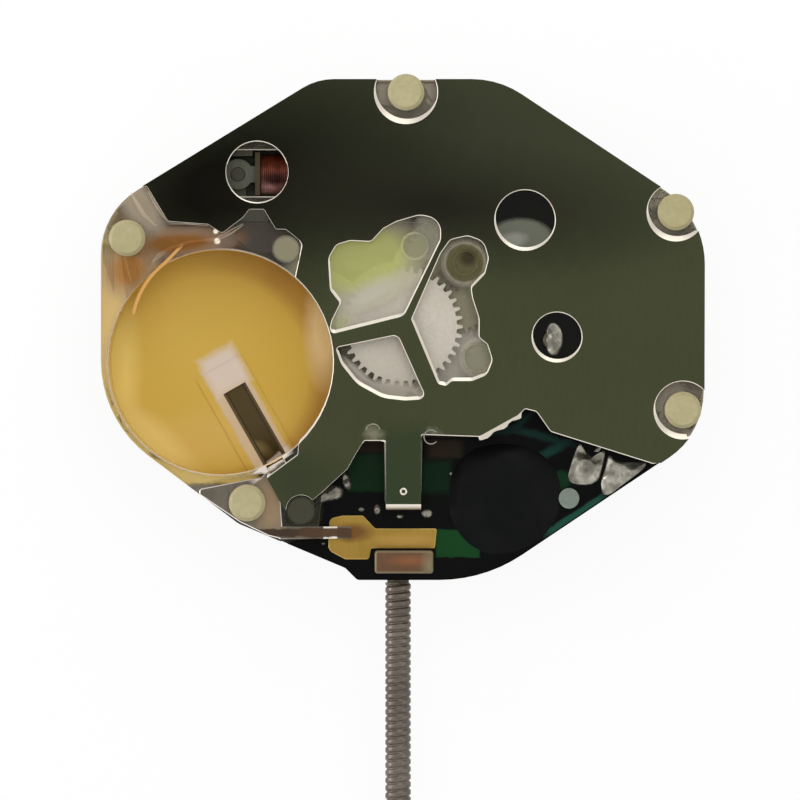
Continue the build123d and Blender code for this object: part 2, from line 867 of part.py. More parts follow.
# Amber film: a thin cup with a slot over the negative leaf and a raised rim round the slot
cell_radius = film_radius - film_wall
film_floor_top = film_floor + film_floor_thickness
with BuildPart() as battery_insulator:
    disc(well_place, film_radius, film_floor, film_wall_top)
    disc(well_place, cell_radius, film_floor_top, film_wall_top, Mode.SUBTRACT)
    with BuildSketch(slot_plane.offset(film_floor_top)):
        rectangle_between(
            (-slot_length / 2 - slot_rim_head, -slot_width / 2 - slot_rim_left),
            (slot_length / 2, slot_width / 2 + slot_rim_right),
        )
    extrude(amount=slot_rim_rise)
    with BuildSketch(slot_plane.offset(film_floor)):
        Rectangle(slot_length, slot_width)
    extrude(amount=film_floor_thickness + slot_rim_rise, mode=Mode.SUBTRACT)
    disc(well_place, film_radius, film_floor, film_wall_top, Mode.INTERSECT)
battery_insulator.part.label = "battery_insulator"
export_step(battery_insulator.part, "parts/battery_insulator.step")

# Positive spring: a curved strip on edge, held in a slot of the bridge
spring_points = []
for spring_angle, spring_offset in zip(spring_angles, spring_offsets):
    spring_points.append(polar(well_place, film_radius + spring_offset, spring_angle))
with BuildPart() as positive_spring:
    with BuildSketch(Plane.XY.offset(spring_bottom)):
        with BuildLine():
            Line(spring_points[0], spring_points[1])
            ThreePointArc(spring_points[1], spring_points[3], spring_points[4])
        trace(line_width=spring_width)
    extrude(amount=spring_top - spring_bottom)
positive_spring.part.label = "positive_spring"
export_step(positive_spring.part, "parts/positive_spring.step")

# Clear train bridge with the frame round the well
with BuildPart() as train_bridge:
    with BuildSketch(Plane.XY.offset(plate_top)):
        outline_face(body_outline_px)
        offset(amount=-edge_inset)
        outline_face(bridge_cut_px, mode=Mode.SUBTRACT)
        with Locations(well_place):
            Circle(well_radius, mode=Mode.SUBTRACT)
        rectangle_between(
            (left_lug_x - lug_radius, coil_y - flange_half - side_gap),
            (coil_end_x + flange_thickness + side_gap, coil_y + flange_half + side_gap),
            Mode.SUBTRACT,
        )
    extrude(amount=bridge_thickness)
    for place in clear_post_places:
        disc(place, clear_post_radius, bridge_top, cover_top)
    for place in post_places:
        disc(place, post_radius + running_fit, plate_top, bridge_top, Mode.SUBTRACT)
    for place in (hands_axis, fifth_axis, third_axis, rotor_axis):
        disc(place, pivot_bore, plate_top, pivot_bore_top, Mode.SUBTRACT)
    disc(locating_place, locating_pin_radius + running_fit, plate_top, bridge_top, Mode.SUBTRACT)
    leaf_channel(-side_gap, leaf_notch_end, plate_top, bridge_top)
    with BuildSketch(Plane.XY.offset(spring_bottom - level_gap / 2)):
        with BuildLine():
            Line(spring_points[0], spring_points[1])
            Line(spring_points[1], spring_points[2])
        trace(line_width=spring_width + 2 * running_fit)
    extrude(amount=bridge_thickness, mode=Mode.SUBTRACT)
train_bridge.part.label = "train_bridge"
export_step(train_bridge.part, "parts/train_bridge.step")

# Cover plate with its windows, holes, notches and bent tab
with BuildPart() as cover_plate:
    with BuildSketch(Plane.XY.offset(bridge_top)):
        outline_face(body_outline_px)
        outline_face(cover_upper_cut_px, mode=Mode.SUBTRACT)
        outline_face(cover_lower_cut_px, mode=Mode.SUBTRACT)
        for window in (window_left_px, window_right_px, window_low_px):
            outline_face(window, mode=Mode.SUBTRACT)
        for place, radius in [
            (well_place, cover_well_radius),
            (coil_hole_place, coil_hole_radius),
            (rotor_hole_place, rotor_hole_radius),
            (pin_hole_place, pin_hole_radius),
            (post_places[0], top_notch_radius),
            (post_places[2], side_notch_radius),
            (post_places[3], side_notch_radius),
            (clear_post_places[0], clear_post_radius + level_gap),
            (clear_post_places[1], clear_post_radius + level_gap),
        ]:
            with Locations(place):
                Circle(radius, mode=Mode.SUBTRACT)
    extrude(amount=cover_thickness)
    with BuildSketch(Plane.XY.offset(board_top)):
        with Locations(at(*tab_foot_px)):
            Rectangle(tab_foot_size_px[0] * mm_per_px, tab_foot_size_px[1] * mm_per_px)
    extrude(amount=bridge_top - board_top)
cover_plate.part.label = "cover_plate"
export_step(cover_plate.part, "parts/cover_plate.step")

# Centre bridge that holds the fixed tube and the lower pivot of the fifth arbor
with BuildPart() as centre_bridge:
    with BuildSketch(Plane.XY.offset(bridge_seat)):
        for angle, length in centre_bridge_arms:
            arm_face(angle, length, centre_bridge_half)
        with Locations(hands_axis):
            Circle(tube_outer_radius, mode=Mode.SUBTRACT)
        with Locations(fifth_axis):
            Circle(pivot_bore, mode=Mode.SUBTRACT)
    extrude(amount=centre_bridge_thickness)
centre_bridge.part.label = "centre_bridge"
export_step(centre_bridge.part, "parts/centre_bridge.step")

with BuildPart() as centre_tube:
    disc(hands_axis, tube_outer_radius, tube_bottom, centre_bridge_top)
    disc(hands_axis, tube_bore, tube_bottom, centre_bridge_top, Mode.SUBTRACT)
centre_tube.part.label = "centre_tube"
export_step(centre_tube.part, "parts/centre_tube.step")

# Seconds wheel and its arbor, which carries the seconds hand at its tip
with BuildPart() as seconds_wheel:
    toothed(
        hands_axis,
        seconds_teeth,
        seconds_module,
        fifth_angle,
        seconds_wheel_bottom,
        seconds_wheel_bottom + wheel_thickness,
    )
    disc(hands_axis, arbor_radius, seconds_wheel_bottom, arbor_top, Mode.SUBTRACT)
seconds_wheel.part.label = "seconds_wheel"
export_step(seconds_wheel.part, "parts/seconds_wheel.step")

with BuildPart() as seconds_arbor:
    turned(
        hands_axis,
        [
            (0, seconds_tip_bottom),
            (seconds_tip_radius, seconds_tip_bottom),
            (seconds_tip_radius, seconds_tip_top),
            (seconds_arbor_radius, seconds_taper_top),
            (seconds_arbor_radius, centre_bridge_top + level_gap),
            (arbor_radius, centre_bridge_top + level_gap),
            (arbor_radius, arbor_top),
            (0, arbor_top),
        ],
    )
    toothed(
        hands_axis,
        seconds_pinion_teeth,
        third_module,
        gap_facing(seconds_pinion_teeth, third_angle),
        centre_bridge_top + level_gap,
        third_wheel_bottom + wheel_thickness + pinion_spare,
    )
seconds_arbor.part.label = "seconds_arbor"
export_step(seconds_arbor.part, "parts/seconds_arbor.step")

# Fifth wheel and pinion
with BuildPart() as fifth_wheel:
    toothed(
        fifth_axis,
        fifth_wheel_teeth,
        rotor_module,
        rotor_angle,
        fifth_wheel_bottom,
        fifth_wheel_bottom + wheel_thickness,
    )
    disc(fifth_axis, arbor_radius, fifth_wheel_bottom, arbor_top, Mode.SUBTRACT)
fifth_wheel.part.label = "fifth_wheel"
export_step(fifth_wheel.part, "parts/fifth_wheel.step")

with BuildPart() as fifth_pinion:
    disc(fifth_axis, arbor_radius, bridge_seat, arbor_top)
    toothed(
        fifth_axis,
        fifth_pinion_teeth,
        seconds_module,
        gap_facing(fifth_pinion_teeth, fifth_angle + full_turn / 2),
        seconds_wheel_bottom - pinion_spare,
        seconds_wheel_bottom + wheel_thickness + pinion_spare / 2,
    )
fifth_pinion.part.label = "fifth_pinion"
export_step(fifth_pinion.part, "parts/fifth_pinion.step")

# Third wheel and pinion
with BuildPart() as third_wheel:
    toothed(
        third_axis,
        third_wheel_teeth,
        third_module,
        third_angle + full_turn / 2,
        third_wheel_bottom,
        third_wheel_bottom + wheel_thickness,
    )
    disc(third_axis, arbor_radius, third_wheel_bottom, arbor_top, Mode.SUBTRACT)
third_wheel.part.label = "third_wheel"
export_step(third_wheel.part, "parts/third_wheel.step")

with BuildPart() as third_pinion:
    disc(third_axis, arbor_radius, motion_recess_top + side_gap + level_gap, arbor_top)
    toothed(
        third_axis,
        third_pinion_teeth,
        centre_module,
        gap_facing(third_pinion_teeth, third_angle + full_turn / 2),
        centre_wheel_bottom - pinion_spare,
        centre_wheel_top + pinion_spare,
    )
third_pinion.part.label = "third_pinion"
export_step(third_pinion.part, "parts/third_pinion.step")

# Centre wheel with the pipe that carries the cannon pinion
cannon_top = minute_wheel_top + level_gap
with BuildPart() as centre_wheel:
    toothed(
        hands_axis,
        centre_wheel_teeth,
        centre_module,
        third_angle,
        centre_wheel_bottom,
        centre_wheel_top,
    )
    disc(hands_axis, centre_pipe_radius, cannon_top, centre_wheel_bottom)
    disc(hands_axis, pipe_bore, cannon_top, centre_wheel_top, Mode.SUBTRACT)
centre_wheel.part.label = "centre_wheel"
export_step(centre_wheel.part, "parts/centre_wheel.step")

with BuildPart() as cannon_pinion:
    turned(
        hands_axis,
        [
            (0, minute_seat_bottom),
            (minute_seat_radius, minute_seat_bottom),
            (minute_seat_radius, minute_seat_top),
            (cannon_cone_radius, hour_wheel_top),
            (cannon_cone_radius, minute_wheel_bottom),
            (centre_pipe_radius, minute_wheel_bottom),
            (centre_pipe_radius, cannon_top),
            (0, cannon_top),
        ],
    )
    toothed(
        hands_axis,
        cannon_teeth,
        motion_module,
        minute_angle,
        minute_wheel_bottom,
        minute_wheel_top,
    )
    disc(hands_axis, pipe_bore, minute_seat_bottom, cannon_top, Mode.SUBTRACT)
cannon_pinion.part.label = "cannon_pinion"
export_step(cannon_pinion.part, "parts/cannon_pinion.step")

with BuildPart() as hour_wheel:
    turned(
        hands_axis,
        [
            (0, hour_seat_bottom),
            (hour_seat_radius, hour_seat_bottom),
            (hour_seat_radius, hour_seat_top),
            (hour_collar_radius, hour_seat_top),
            (hour_collar_radius, hour_wheel_bottom),
            (0, hour_wheel_bottom),
        ],
    )
    toothed(
        hands_axis,
        hour_wheel_teeth,
        motion_module,
        minute_angle,
        hour_wheel_bottom,
        hour_wheel_top,
    )
    disc(hands_axis, hour_bore, hour_seat_bottom, hour_wheel_top, Mode.SUBTRACT)
hour_wheel.part.label = "hour_wheel"
export_step(hour_wheel.part, "parts/hour_wheel.step")

with BuildPart() as minute_wheel:
    toothed(
        minute_axis,
        minute_wheel_teeth,
        motion_module,
        minute_phase,
        minute_wheel_bottom,
        minute_wheel_top,
    )
    toothed(
        minute_axis,
        minute_pinion_teeth,
        motion_module,
        gap_facing(minute_pinion_teeth, minute_angle + full_turn / 2),
        hour_wheel_bottom,
        minute_wheel_bottom,
    )
    disc(minute_axis, minute_stud_radius + running_fit, hour_wheel_bottom, minute_wheel_top, Mode.SUBTRACT)
minute_wheel.part.label = "minute_wheel"
export_step(minute_wheel.part, "parts/minute_wheel.step")

# Setting works
with BuildPart() as setting_wheel:
    toothed(
        setting_place,
        setting_wheel_teeth,
        motion_module,
        setting_phase,
        minute_wheel_bottom,
        minute_wheel_top,
    )
    disc(setting_place, setting_stud_radius + running_fit, minute_wheel_bottom, minute_wheel_top, Mode.SUBTRACT)
setting_wheel.part.label = "setting_wheel"
export_step(setting_wheel.part, "parts/setting_wheel.step")

with BuildPart() as yoke:
    with BuildSketch(Plane.XY.offset(yoke_bottom)):
        SlotCenterPoint(
            ((yoke_place[0] + setting_place[0]) / 2, (yoke_place[1] + setting_place[1]) / 2),
            setting_place,
            yoke_width,
        )
        with Locations(yoke_place):
            Circle(yoke_stud_radius + running_fit, mode=Mode.SUBTRACT)
    extrude(amount=yoke_thickness)
    disc(setting_place, setting_stud_radius, minute_wheel_bottom - level_gap, yoke_bottom)
yoke.part.label = "yoke"
export_step(yoke.part, "parts/yoke.step")

sliding_back_y = sliding_inner_y - contrate_depth
sliding_end_y = sliding_back_y - sliding_length
sliding_waist_radius = 0.45
sliding_waist_width = 0.34
with BuildPart() as sliding_pinion:
    round_along_stem(sliding_radius, sliding_back_y, sliding_end_y)
    with BuildSketch(stem_plane((sliding_back_y + sliding_end_y + sliding_waist_width) / 2)):
        Circle(sliding_radius + side_gap)
        Circle(sliding_waist_radius, mode=Mode.SUBTRACT)
    extrude(amount=sliding_waist_width, mode=Mode.SUBTRACT)
    with BuildSketch(stem_plane(sliding_inner_y)):
        with PolarLocations(sliding_radius - contrate_width / 2, sliding_teeth):
            Rectangle(contrate_width, contrate_depth)
    extrude(amount=contrate_depth)
    with BuildSketch(stem_plane(sliding_inner_y)):
        Rectangle(stem_square + 2 * running_fit, stem_square + 2 * running_fit)
    extrude(amount=contrate_depth + sliding_length, mode=Mode.SUBTRACT)
sliding_pinion.part.label = "sliding_pinion"
export_step(sliding_pinion.part, "parts/sliding_pinion.step")

stem_shoulder_top_y = sliding_end_y - level_gap
stem_neck_bottom_y = stem_neck_top_y - stem_neck_width
thread_start_y = stem_exit_y - edge_inset
thread_count = round((thread_start_y - stem_tip_y) / thread_pitch)
ridge_shares = [0.28, 0.72]
thread_profile = [
    (0, stem_taper_top_y),
    (stem_shoulder_radius, stem_taper_top_y),
    (stem_thread_root, thread_start_y),
]
for turn in range(thread_count):
    start_y = thread_start_y - turn * thread_pitch
    thread_profile.append((stem_thread_radius, start_y - ridge_shares[0] * thread_pitch))
    thread_profile.append((stem_thread_radius, start_y - ridge_shares[1] * thread_pitch))
    thread_profile.append((stem_thread_root, start_y - thread_pitch))
thread_profile.append((0, start_y - thread_pitch))
with BuildPart() as stem:
    round_along_stem(stem_pilot_radius, stem_pilot_top_y, stem_square_top_y)
    with BuildSketch(stem_plane(stem_square_top_y)):
        Rectangle(stem_square, stem_square)
    extrude(amount=stem_square_top_y - stem_shoulder_top_y)
    round_along_stem(stem_shoulder_radius, stem_shoulder_top_y, stem_neck_top_y)
    round_along_stem(stem_neck_radius, stem_neck_top_y, stem_neck_bottom_y)
    round_along_stem(stem_shoulder_radius, stem_neck_bottom_y, stem_taper_top_y)
    with BuildSketch(Plane((stem_x, 0, stem_level))):
        with BuildLine():
            Polyline(*thread_profile, close=True)
        make_face()
    revolve(axis=Axis((stem_x, 0, stem_level), (0, 1, 0)))
stem.part.label = "stem"
export_step(stem.part, "parts/stem.step")

lever_peg_place = (stem_x, (stem_neck_top_y + stem_neck_bottom_y) / 2)
lever_arm = ((lever_peg_place[0] - lever_place[0]) ** 2 + (lever_peg_place[1] - lever_place[1]) ** 2) ** 0.5
lever_tail_place = (
    lever_place[0] - (lever_peg_place[0] - lever_place[0]) * lever_tail / lever_arm,
    lever_place[1] - (lever_peg_place[1] - lever_place[1]) * lever_tail / lever_arm,
)
with BuildPart() as setting_lever:
    with BuildSketch(Plane.XY.offset(lever_bottom)):
        SlotCenterPoint(
            ((lever_place[0] + lever_peg_place[0]) / 2, (lever_place[1] + lever_peg_place[1]) / 2),
            lever_peg_place,
            lever_width,
        )
        with Locations(lever_place):
            Circle(lever_hub_radius)
        SlotCenterPoint(lever_place, lever_tail_place, 2 * lever_peg_radius)
        with Locations(lever_place):
            Circle(lever_pin_radius + running_fit, mode=Mode.SUBTRACT)
    extrude(amount=lever_thickness)
    disc(lever_peg_place, lever_peg_radius, stem_level + stem_neck_radius + level_gap, lever_bottom)
setting_lever.part.label = "setting_lever"
export_step(setting_lever.part, "parts/setting_lever.step")

with BuildPart() as lever_pin:
    disc(lever_place, lever_pin_radius, train_floor, lever_top)
lever_pin.part.label = "lever_pin"
export_step(lever_pin.part, "parts/lever_pin.step")

pocket_floor = lever_bottom - level_gap / 2
with BuildPart() as lever_jumper:
    with BuildSketch(Plane.XY.offset(pocket_floor)):
        rectangle_between(
            (lever_pocket_high[0] - level_gap - jumper_width, lever_pocket_low[1] + level_gap),
            (lever_pocket_high[0] - level_gap, lever_pocket_high[1] - level_gap),
        )
        rectangle_between(
            (lever_pocket_high[0] - level_gap - 2 * jumper_foot, lever_pocket_high[1] - level_gap - jumper_foot),
            (lever_pocket_high[0] - level_gap, lever_pocket_high[1] - level_gap),
        )
    extrude(amount=lever_top - pocket_floor)
lever_jumper.part.label = "lever_jumper"
export_step(lever_jumper.part, "parts/lever_jumper.step")

# Guard of the motion work and its screws, on the dial side
guard_bottom = guard_recess_depth - guard_thickness
with BuildPart() as motion_guard:
    with BuildSketch(Plane.XY.offset(guard_bottom)):
        guard_face(0)
        with Locations(hands_axis):
            Circle(hour_collar_radius + 2 * running_fit, mode=Mode.SUBTRACT)
        for place in guard_screw_places:
            with Locations(place):
                Circle(screw_shank_radius + running_fit, mode=Mode.SUBTRACT)
    extrude(amount=guard_thickness)
motion_guard.part.label = "motion_guard"
export_step(motion_guard.part, "parts/motion_guard.step")

with BuildPart() as guard_screws:
    for place in guard_screw_places:
        disc(place, screw_head_radius, guard_bottom - screw_head_thickness, guard_bottom)
        disc(place, screw_shank_radius, guard_bottom, screw_length)
    with BuildSketch(Plane.XY.offset(guard_bottom - screw_head_thickness)):
        with Locations(*guard_screw_places):
            Rectangle(2 * screw_head_radius, screw_slot_width)
    extrude(amount=screw_slot_depth, mode=Mode.SUBTRACT)
guard_screws.part.label = "guard_screws"
export_step(guard_screws.part, "parts/guard_screws.step")

# Quartz crystal in its can, lying along Y, with its two leads to the solder
crystal_plane = Plane((crystal_x, crystal_bottom_y, crystal_level), x_dir=(1, 0, 0), z_dir=(0, 1, 0))
crystal_edge = 0.12
with BuildPart() as crystal_can:
    with BuildSketch(crystal_plane):
        Circle(crystal_radius)
    extrude(amount=crystal_top_y - crystal_bottom_y)
    fillet(crystal_can.edges().sort_by(Axis.Y)[-1], radius=crystal_edge)
crystal_can.part.label = "crystal_can"
export_step(crystal_can.part, "parts/crystal_can.step")

lead_level = board_top + solder_thickness + lead_radius
lead_bend = 0.12
lead_run = 0.30
lead_rise = 0.35
lead_ends_px = [(586, 466), (626, 474)]
with BuildPart() as crystal_leads:
    for side, end_px in zip((-1, 1), lead_ends_px):
        lead_x = crystal_x + side * lead_spread
        with BuildLine() as lead_path:
            FilletPolyline(
                (lead_x, crystal_bottom_y, crystal_level),
                (lead_x, crystal_bottom_y - lead_run, crystal_level),
                (lead_x, crystal_bottom_y - lead_run - lead_rise, lead_level),
                (*at(*end_px), lead_level),
                radius=lead_bend,
            )
        with BuildSketch(Plane((lead_x, crystal_bottom_y, crystal_level), z_dir=(0, -1, 0))):
            Circle(lead_radius)
        sweep(path=lead_path.wires()[0])
crystal_leads.part.label = "crystal_leads"
export_step(crystal_leads.part, "parts/crystal_leads.step")

with BuildPart() as locating_pin:
    disc(locating_place, locating_pin_radius, train_floor, bridge_top + locating_pin_rise)
    fillet(locating_pin.edges().sort_by(Axis.Z)[-1], radius=locating_pin_rise)
locating_pin.part.label = "locating_pin"
export_step(locating_pin.part, "parts/locating_pin.step")

# Coil: core, flanges and winding
with BuildPart() as coil_core:
    with BuildSketch(Plane.XY.offset(stator_top)):
        rectangle_between((left_lug_x, coil_y - core_width / 2), (right_lug_x, coil_y + core_width / 2))
        for lug_x in (left_lug_x, right_lug_x):
            with Locations((lug_x, coil_y)):
                Circle(lug_radius)
        for lug_x in (left_lug_x, right_lug_x):
            with Locations((lug_x, coil_y)):
                Circle(lug_pin_radius + running_fit, mode=Mode.SUBTRACT)
    extrude(amount=core_thickness)
coil_core.part.label = "coil_core"
export_step(coil_core.part, "parts/coil_core.step")


def coil_plane(x):
    """Plane square to the coil at a place along it."""
    return Plane((x, coil_y, winding_level), x_dir=(0, 1, 0), z_dir=(1, 0, 0))


with BuildPart() as coil_winding:
    with BuildSketch(coil_plane(coil_start_x)):
        Circle(winding_radius)
        Rectangle(core_width, core_thickness, mode=Mode.SUBTRACT)
    extrude(amount=coil_end_x - coil_start_x)
coil_winding.part.label = "coil_winding"
export_step(coil_winding.part, "parts/coil_winding.step")

with BuildPart() as coil_flanges:
    for flange_x in (coil_start_x - flange_thickness, coil_end_x):
        with BuildSketch(coil_plane(flange_x)):
            Rectangle(2 * flange_half, 2 * flange_half)
            Rectangle(core_width, core_thickness, mode=Mode.SUBTRACT)
        extrude(amount=flange_thickness)
coil_flanges.part.label = "coil_flanges"
export_step(coil_flanges.part, "parts/coil_flanges.step")

# Stator and rotor
with BuildPart() as stator:
    with BuildSketch(Plane.XY.offset(train_floor)):
        rectangle_between((left_lug_x - lug_radius, stator_arm_low_y), (rotor_axis[0], stator_arm_high_y))
        rectangle_between((left_lug_x - lug_radius, stator_arm_low_y), (left_lug_x + lug_radius / 2, coil_y))
        rectangle_between((right_lug_x - lug_radius / 2, rotor_axis[1]), (right_lug_x + lug_radius, coil_y))
        for lug_x in (left_lug_x, right_lug_x):
            with Locations((lug_x, coil_y)):
                Circle(lug_radius)
        with Locations(rotor_axis):
            Circle(stator_body_radius)
            Circle(stator_hole, mode=Mode.SUBTRACT)
        for lug_x in (left_lug_x, right_lug_x):
            with Locations((lug_x, coil_y)):
                Circle(lug_pin_radius + running_fit, mode=Mode.SUBTRACT)
    extrude(amount=stator_thickness)
stator.part.label = "stator"
export_step(stator.part, "parts/stator.step")

with BuildPart() as rotor_magnet:
    disc(rotor_axis, magnet_radius, magnet_bottom, magnet_bottom + magnet_height)
    disc(rotor_axis, arbor_radius, magnet_bottom, magnet_bottom + magnet_height, Mode.SUBTRACT)
rotor_magnet.part.label = "rotor_magnet"
export_step(rotor_magnet.part, "parts/rotor_magnet.step")

with BuildPart() as rotor_pinion:
    disc(rotor_axis, arbor_radius, rotor_bore_bottom + level_gap, arbor_top)
    toothed(
        rotor_axis,
        rotor_pinion_teeth,
        rotor_module,
        gap_facing(rotor_pinion_teeth, rotor_angle + full_turn / 2),
        fifth_wheel_bottom - pinion_spare,
        fifth_wheel_bottom + wheel_thickness + pinion_spare,
    )
rotor_pinion.part.label = "rotor_pinion"
export_step(rotor_pinion.part, "parts/rotor_pinion.step")
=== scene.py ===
"""Analogue quartz watch movement, seen from its battery side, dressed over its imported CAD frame.

Every length is in metres, in the frame's own axes: +Z to the battery side and the stem along -Y.
Places that were read from the photograph are written in its pixels and turned into metres by at().
"""

import json
import logging
import math
from dataclasses import dataclass, field
from enum import Enum
from typing import Any, Callable, Iterable

import bmesh
import bpy
from mathutils import Matrix, Vector, noise


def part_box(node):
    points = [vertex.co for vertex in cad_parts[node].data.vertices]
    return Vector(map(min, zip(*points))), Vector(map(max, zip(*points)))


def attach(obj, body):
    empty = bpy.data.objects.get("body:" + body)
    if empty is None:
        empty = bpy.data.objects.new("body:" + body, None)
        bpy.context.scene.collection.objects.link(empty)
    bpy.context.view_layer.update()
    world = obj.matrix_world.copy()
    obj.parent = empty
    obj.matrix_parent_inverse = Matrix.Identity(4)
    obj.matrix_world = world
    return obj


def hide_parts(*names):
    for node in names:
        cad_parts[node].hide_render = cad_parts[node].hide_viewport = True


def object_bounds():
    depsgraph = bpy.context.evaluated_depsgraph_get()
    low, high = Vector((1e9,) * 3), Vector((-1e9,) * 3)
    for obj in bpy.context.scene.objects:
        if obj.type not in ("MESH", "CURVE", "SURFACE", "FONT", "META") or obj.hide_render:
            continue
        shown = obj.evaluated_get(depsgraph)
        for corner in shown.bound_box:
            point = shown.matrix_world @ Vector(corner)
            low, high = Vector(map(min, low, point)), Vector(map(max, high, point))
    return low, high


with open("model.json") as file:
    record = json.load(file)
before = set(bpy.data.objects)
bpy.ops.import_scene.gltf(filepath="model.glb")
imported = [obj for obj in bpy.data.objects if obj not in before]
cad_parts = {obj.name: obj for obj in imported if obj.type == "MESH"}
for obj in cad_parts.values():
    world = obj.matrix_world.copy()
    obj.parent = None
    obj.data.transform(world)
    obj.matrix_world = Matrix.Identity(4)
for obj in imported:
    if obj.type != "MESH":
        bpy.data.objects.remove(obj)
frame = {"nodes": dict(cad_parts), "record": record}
cad_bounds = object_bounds()

log = logging.getLogger("movement")

MM = 0.001
BODY_WIDTH = 18.27 * MM
BODY_WIDTH_PX = 605
METRES_PER_PX = BODY_WIDTH / BODY_WIDTH_PX
HANDS_AXIS_PX = (402, 326)
PHOTO_SIDE_PX = 800
SAME_PLACE = 0.002 * MM
# How far a normal points up or down: a level face passes the first, a wall stays under the second
LEVEL_SHARE = 0.7
WALL_SHARE = 0.1
WORLD_WHITE = "FFFFFF"
# Middles of the cream posts that stand in notches of the cover
NOTCHED_POSTS_PX = ((406, 92), (676, 212), (683, 410))

Point = tuple[float, float]
Socket = bpy.types.NodeSocket
Tree = bpy.types.NodeTree
Solid = bmesh.types.BMesh


def at(px: float, py: float) -> Point:
    """Place in the frame of a pixel of the photograph.

    Args:
        px: Pixels from the left of the photograph.
        py: Pixels from its top.

    Returns:
        The x and y of that place in metres.
    """
    return (px - HANDS_AXIS_PX[0]) * METRES_PER_PX, (HANDS_AXIS_PX[1] - py) * METRES_PER_PX


def linear(colour: str) -> tuple[float, float, float, float]:
    """Linear colour of an sRGB hex value.

    Args:
        colour: Six hex digits, two for each of red, green and blue.

    Returns:
        Red, green, blue and an alpha of one.
    """
    shades = [int(colour[i : i + 2], 16) / 255 for i in (0, 2, 4)]
    values = [s / 12.92 if s <= 0.04045 else ((s + 0.055) / 1.055) ** 2.4 for s in shades]
    return values[0], values[1], values[2], 1.0


def add_node(tree: Tree, kind: str, inputs: dict[Any, Any] | None = None, **settings: Any) -> Any:
    """Adds a node with its settings, values and links.

    Args:
        tree: Tree that the node goes into.
        kind: The node's type name.
        inputs: For each input, by name or number, a value or the output socket that feeds it.
        **settings: The node's own properties.

    Returns:
        The new node.
    """
    node = tree.nodes.new(kind)
    for name, value in settings.items():
        setattr(node, name, value)
    for key, value in (inputs or {}).items():
        if isinstance(value, Socket):
            tree.links.new(value, node.inputs[key])
        else:
            node.inputs[key].default_value = value
    return node


def height_share(tree: Tree) -> Socket:
    """How level the surface is, from 0 on a wall to 1 on a flat that faces up or down.

    Args:
        tree: The material's tree.

    Returns:
        Socket of that share.
    """
    normal = add_node(tree, "ShaderNodeNewGeometry").outputs["True Normal"]
    upright = add_node(tree, "ShaderNodeSeparateXYZ", {"Vector": normal}).outputs["Z"]
    return add_node(tree, "ShaderNodeMath", {0: upright}, operation="ABSOLUTE").outputs[0]


# ---- materials


class Shape(Enum):
    """Form of a toned area."""

    ROUND = "round"
    STRAIGHT = "straight"


@dataclass(frozen=True)
class Patch:
    """Area of a piece, in pixels seen from the battery side, that has a tone of its own or painted light or
    shade.
    """

    centre_px: Point
    half_px: Point
    colour: str
    turn: float = 0.0
    soft: float = 0.3
    shape: Shape = Shape.ROUND
    share: float = 1.0
    level_mm: float = 0.0
    reach_mm: float = 1000.0
    only_level: bool = False
    over_edge: bool = False
    alpha: float | None = None

    def mask(self, tree: Tree, place: Socket) -> Socket:
        """Share of the patch's tone at each place.

        Args:
            tree: The material's tree.
            place: Socket of the place on the piece.

        Returns:
            Socket that is 0 outside and the patch's share inside.
        """
        x, y = at(*self.centre_px)
        half_x, half_y = (side * METRES_PER_PX for side in self.half_px)
        local = add_node(
            tree,
            "ShaderNodeMapping",
            {
                "Vector": place,
                "Location": (x, y, self.level_mm * MM),
                "Rotation": (0, 0, math.radians(self.turn)),
                "Scale": (half_x, half_y, self.reach_mm * MM),
            },
            vector_type="TEXTURE",
        ).outputs[0]
        if self.shape is Shape.ROUND:
            reach = add_node(tree, "ShaderNodeVectorMath", {0: local}, operation="LENGTH").outputs["Value"]
        else:
            sizes = add_node(tree, "ShaderNodeVectorMath", {0: local}, operation="ABSOLUTE").outputs[0]
            parts = add_node(tree, "ShaderNodeSeparateXYZ", {0: sizes}).outputs
            sides = {0: parts[0], 1: parts[1]}
            flat = add_node(tree, "ShaderNodeMath", sides, operation="MAXIMUM").outputs[0]
            reach = add_node(tree, "ShaderNodeMath", {0: flat, 1: parts[2]}, operation="MAXIMUM").outputs[0]
        ends = {"From Min": 1 + self.soft / 2, "From Max": 1 - self.soft / 2, "To Max": self.share}
        shown = add_node(tree, "ShaderNodeMapRange", {"Value": reach, **ends}).outputs[0]
        if self.only_level:
            limits = {0: height_share(tree), 1: LEVEL_SHARE}
            level = add_node(tree, "ShaderNodeMath", limits, operation="GREATER_THAN").outputs[0]
            shown = add_node(tree, "ShaderNodeMath", {0: shown, 1: level}, operation="MULTIPLY").outputs[0]
        return shown


class Grain(Enum):
    """How a surface was made: the stretch of its fine pattern along x, y and z."""

    BRUSHED = (1.0, 0.08, 1.0)
    MOULDED = (1.0, 1.0, 1.0)
    TURNED = (0.3, 1.0, 1.0)
    POURED = (0.5, 0.5, 0.5)


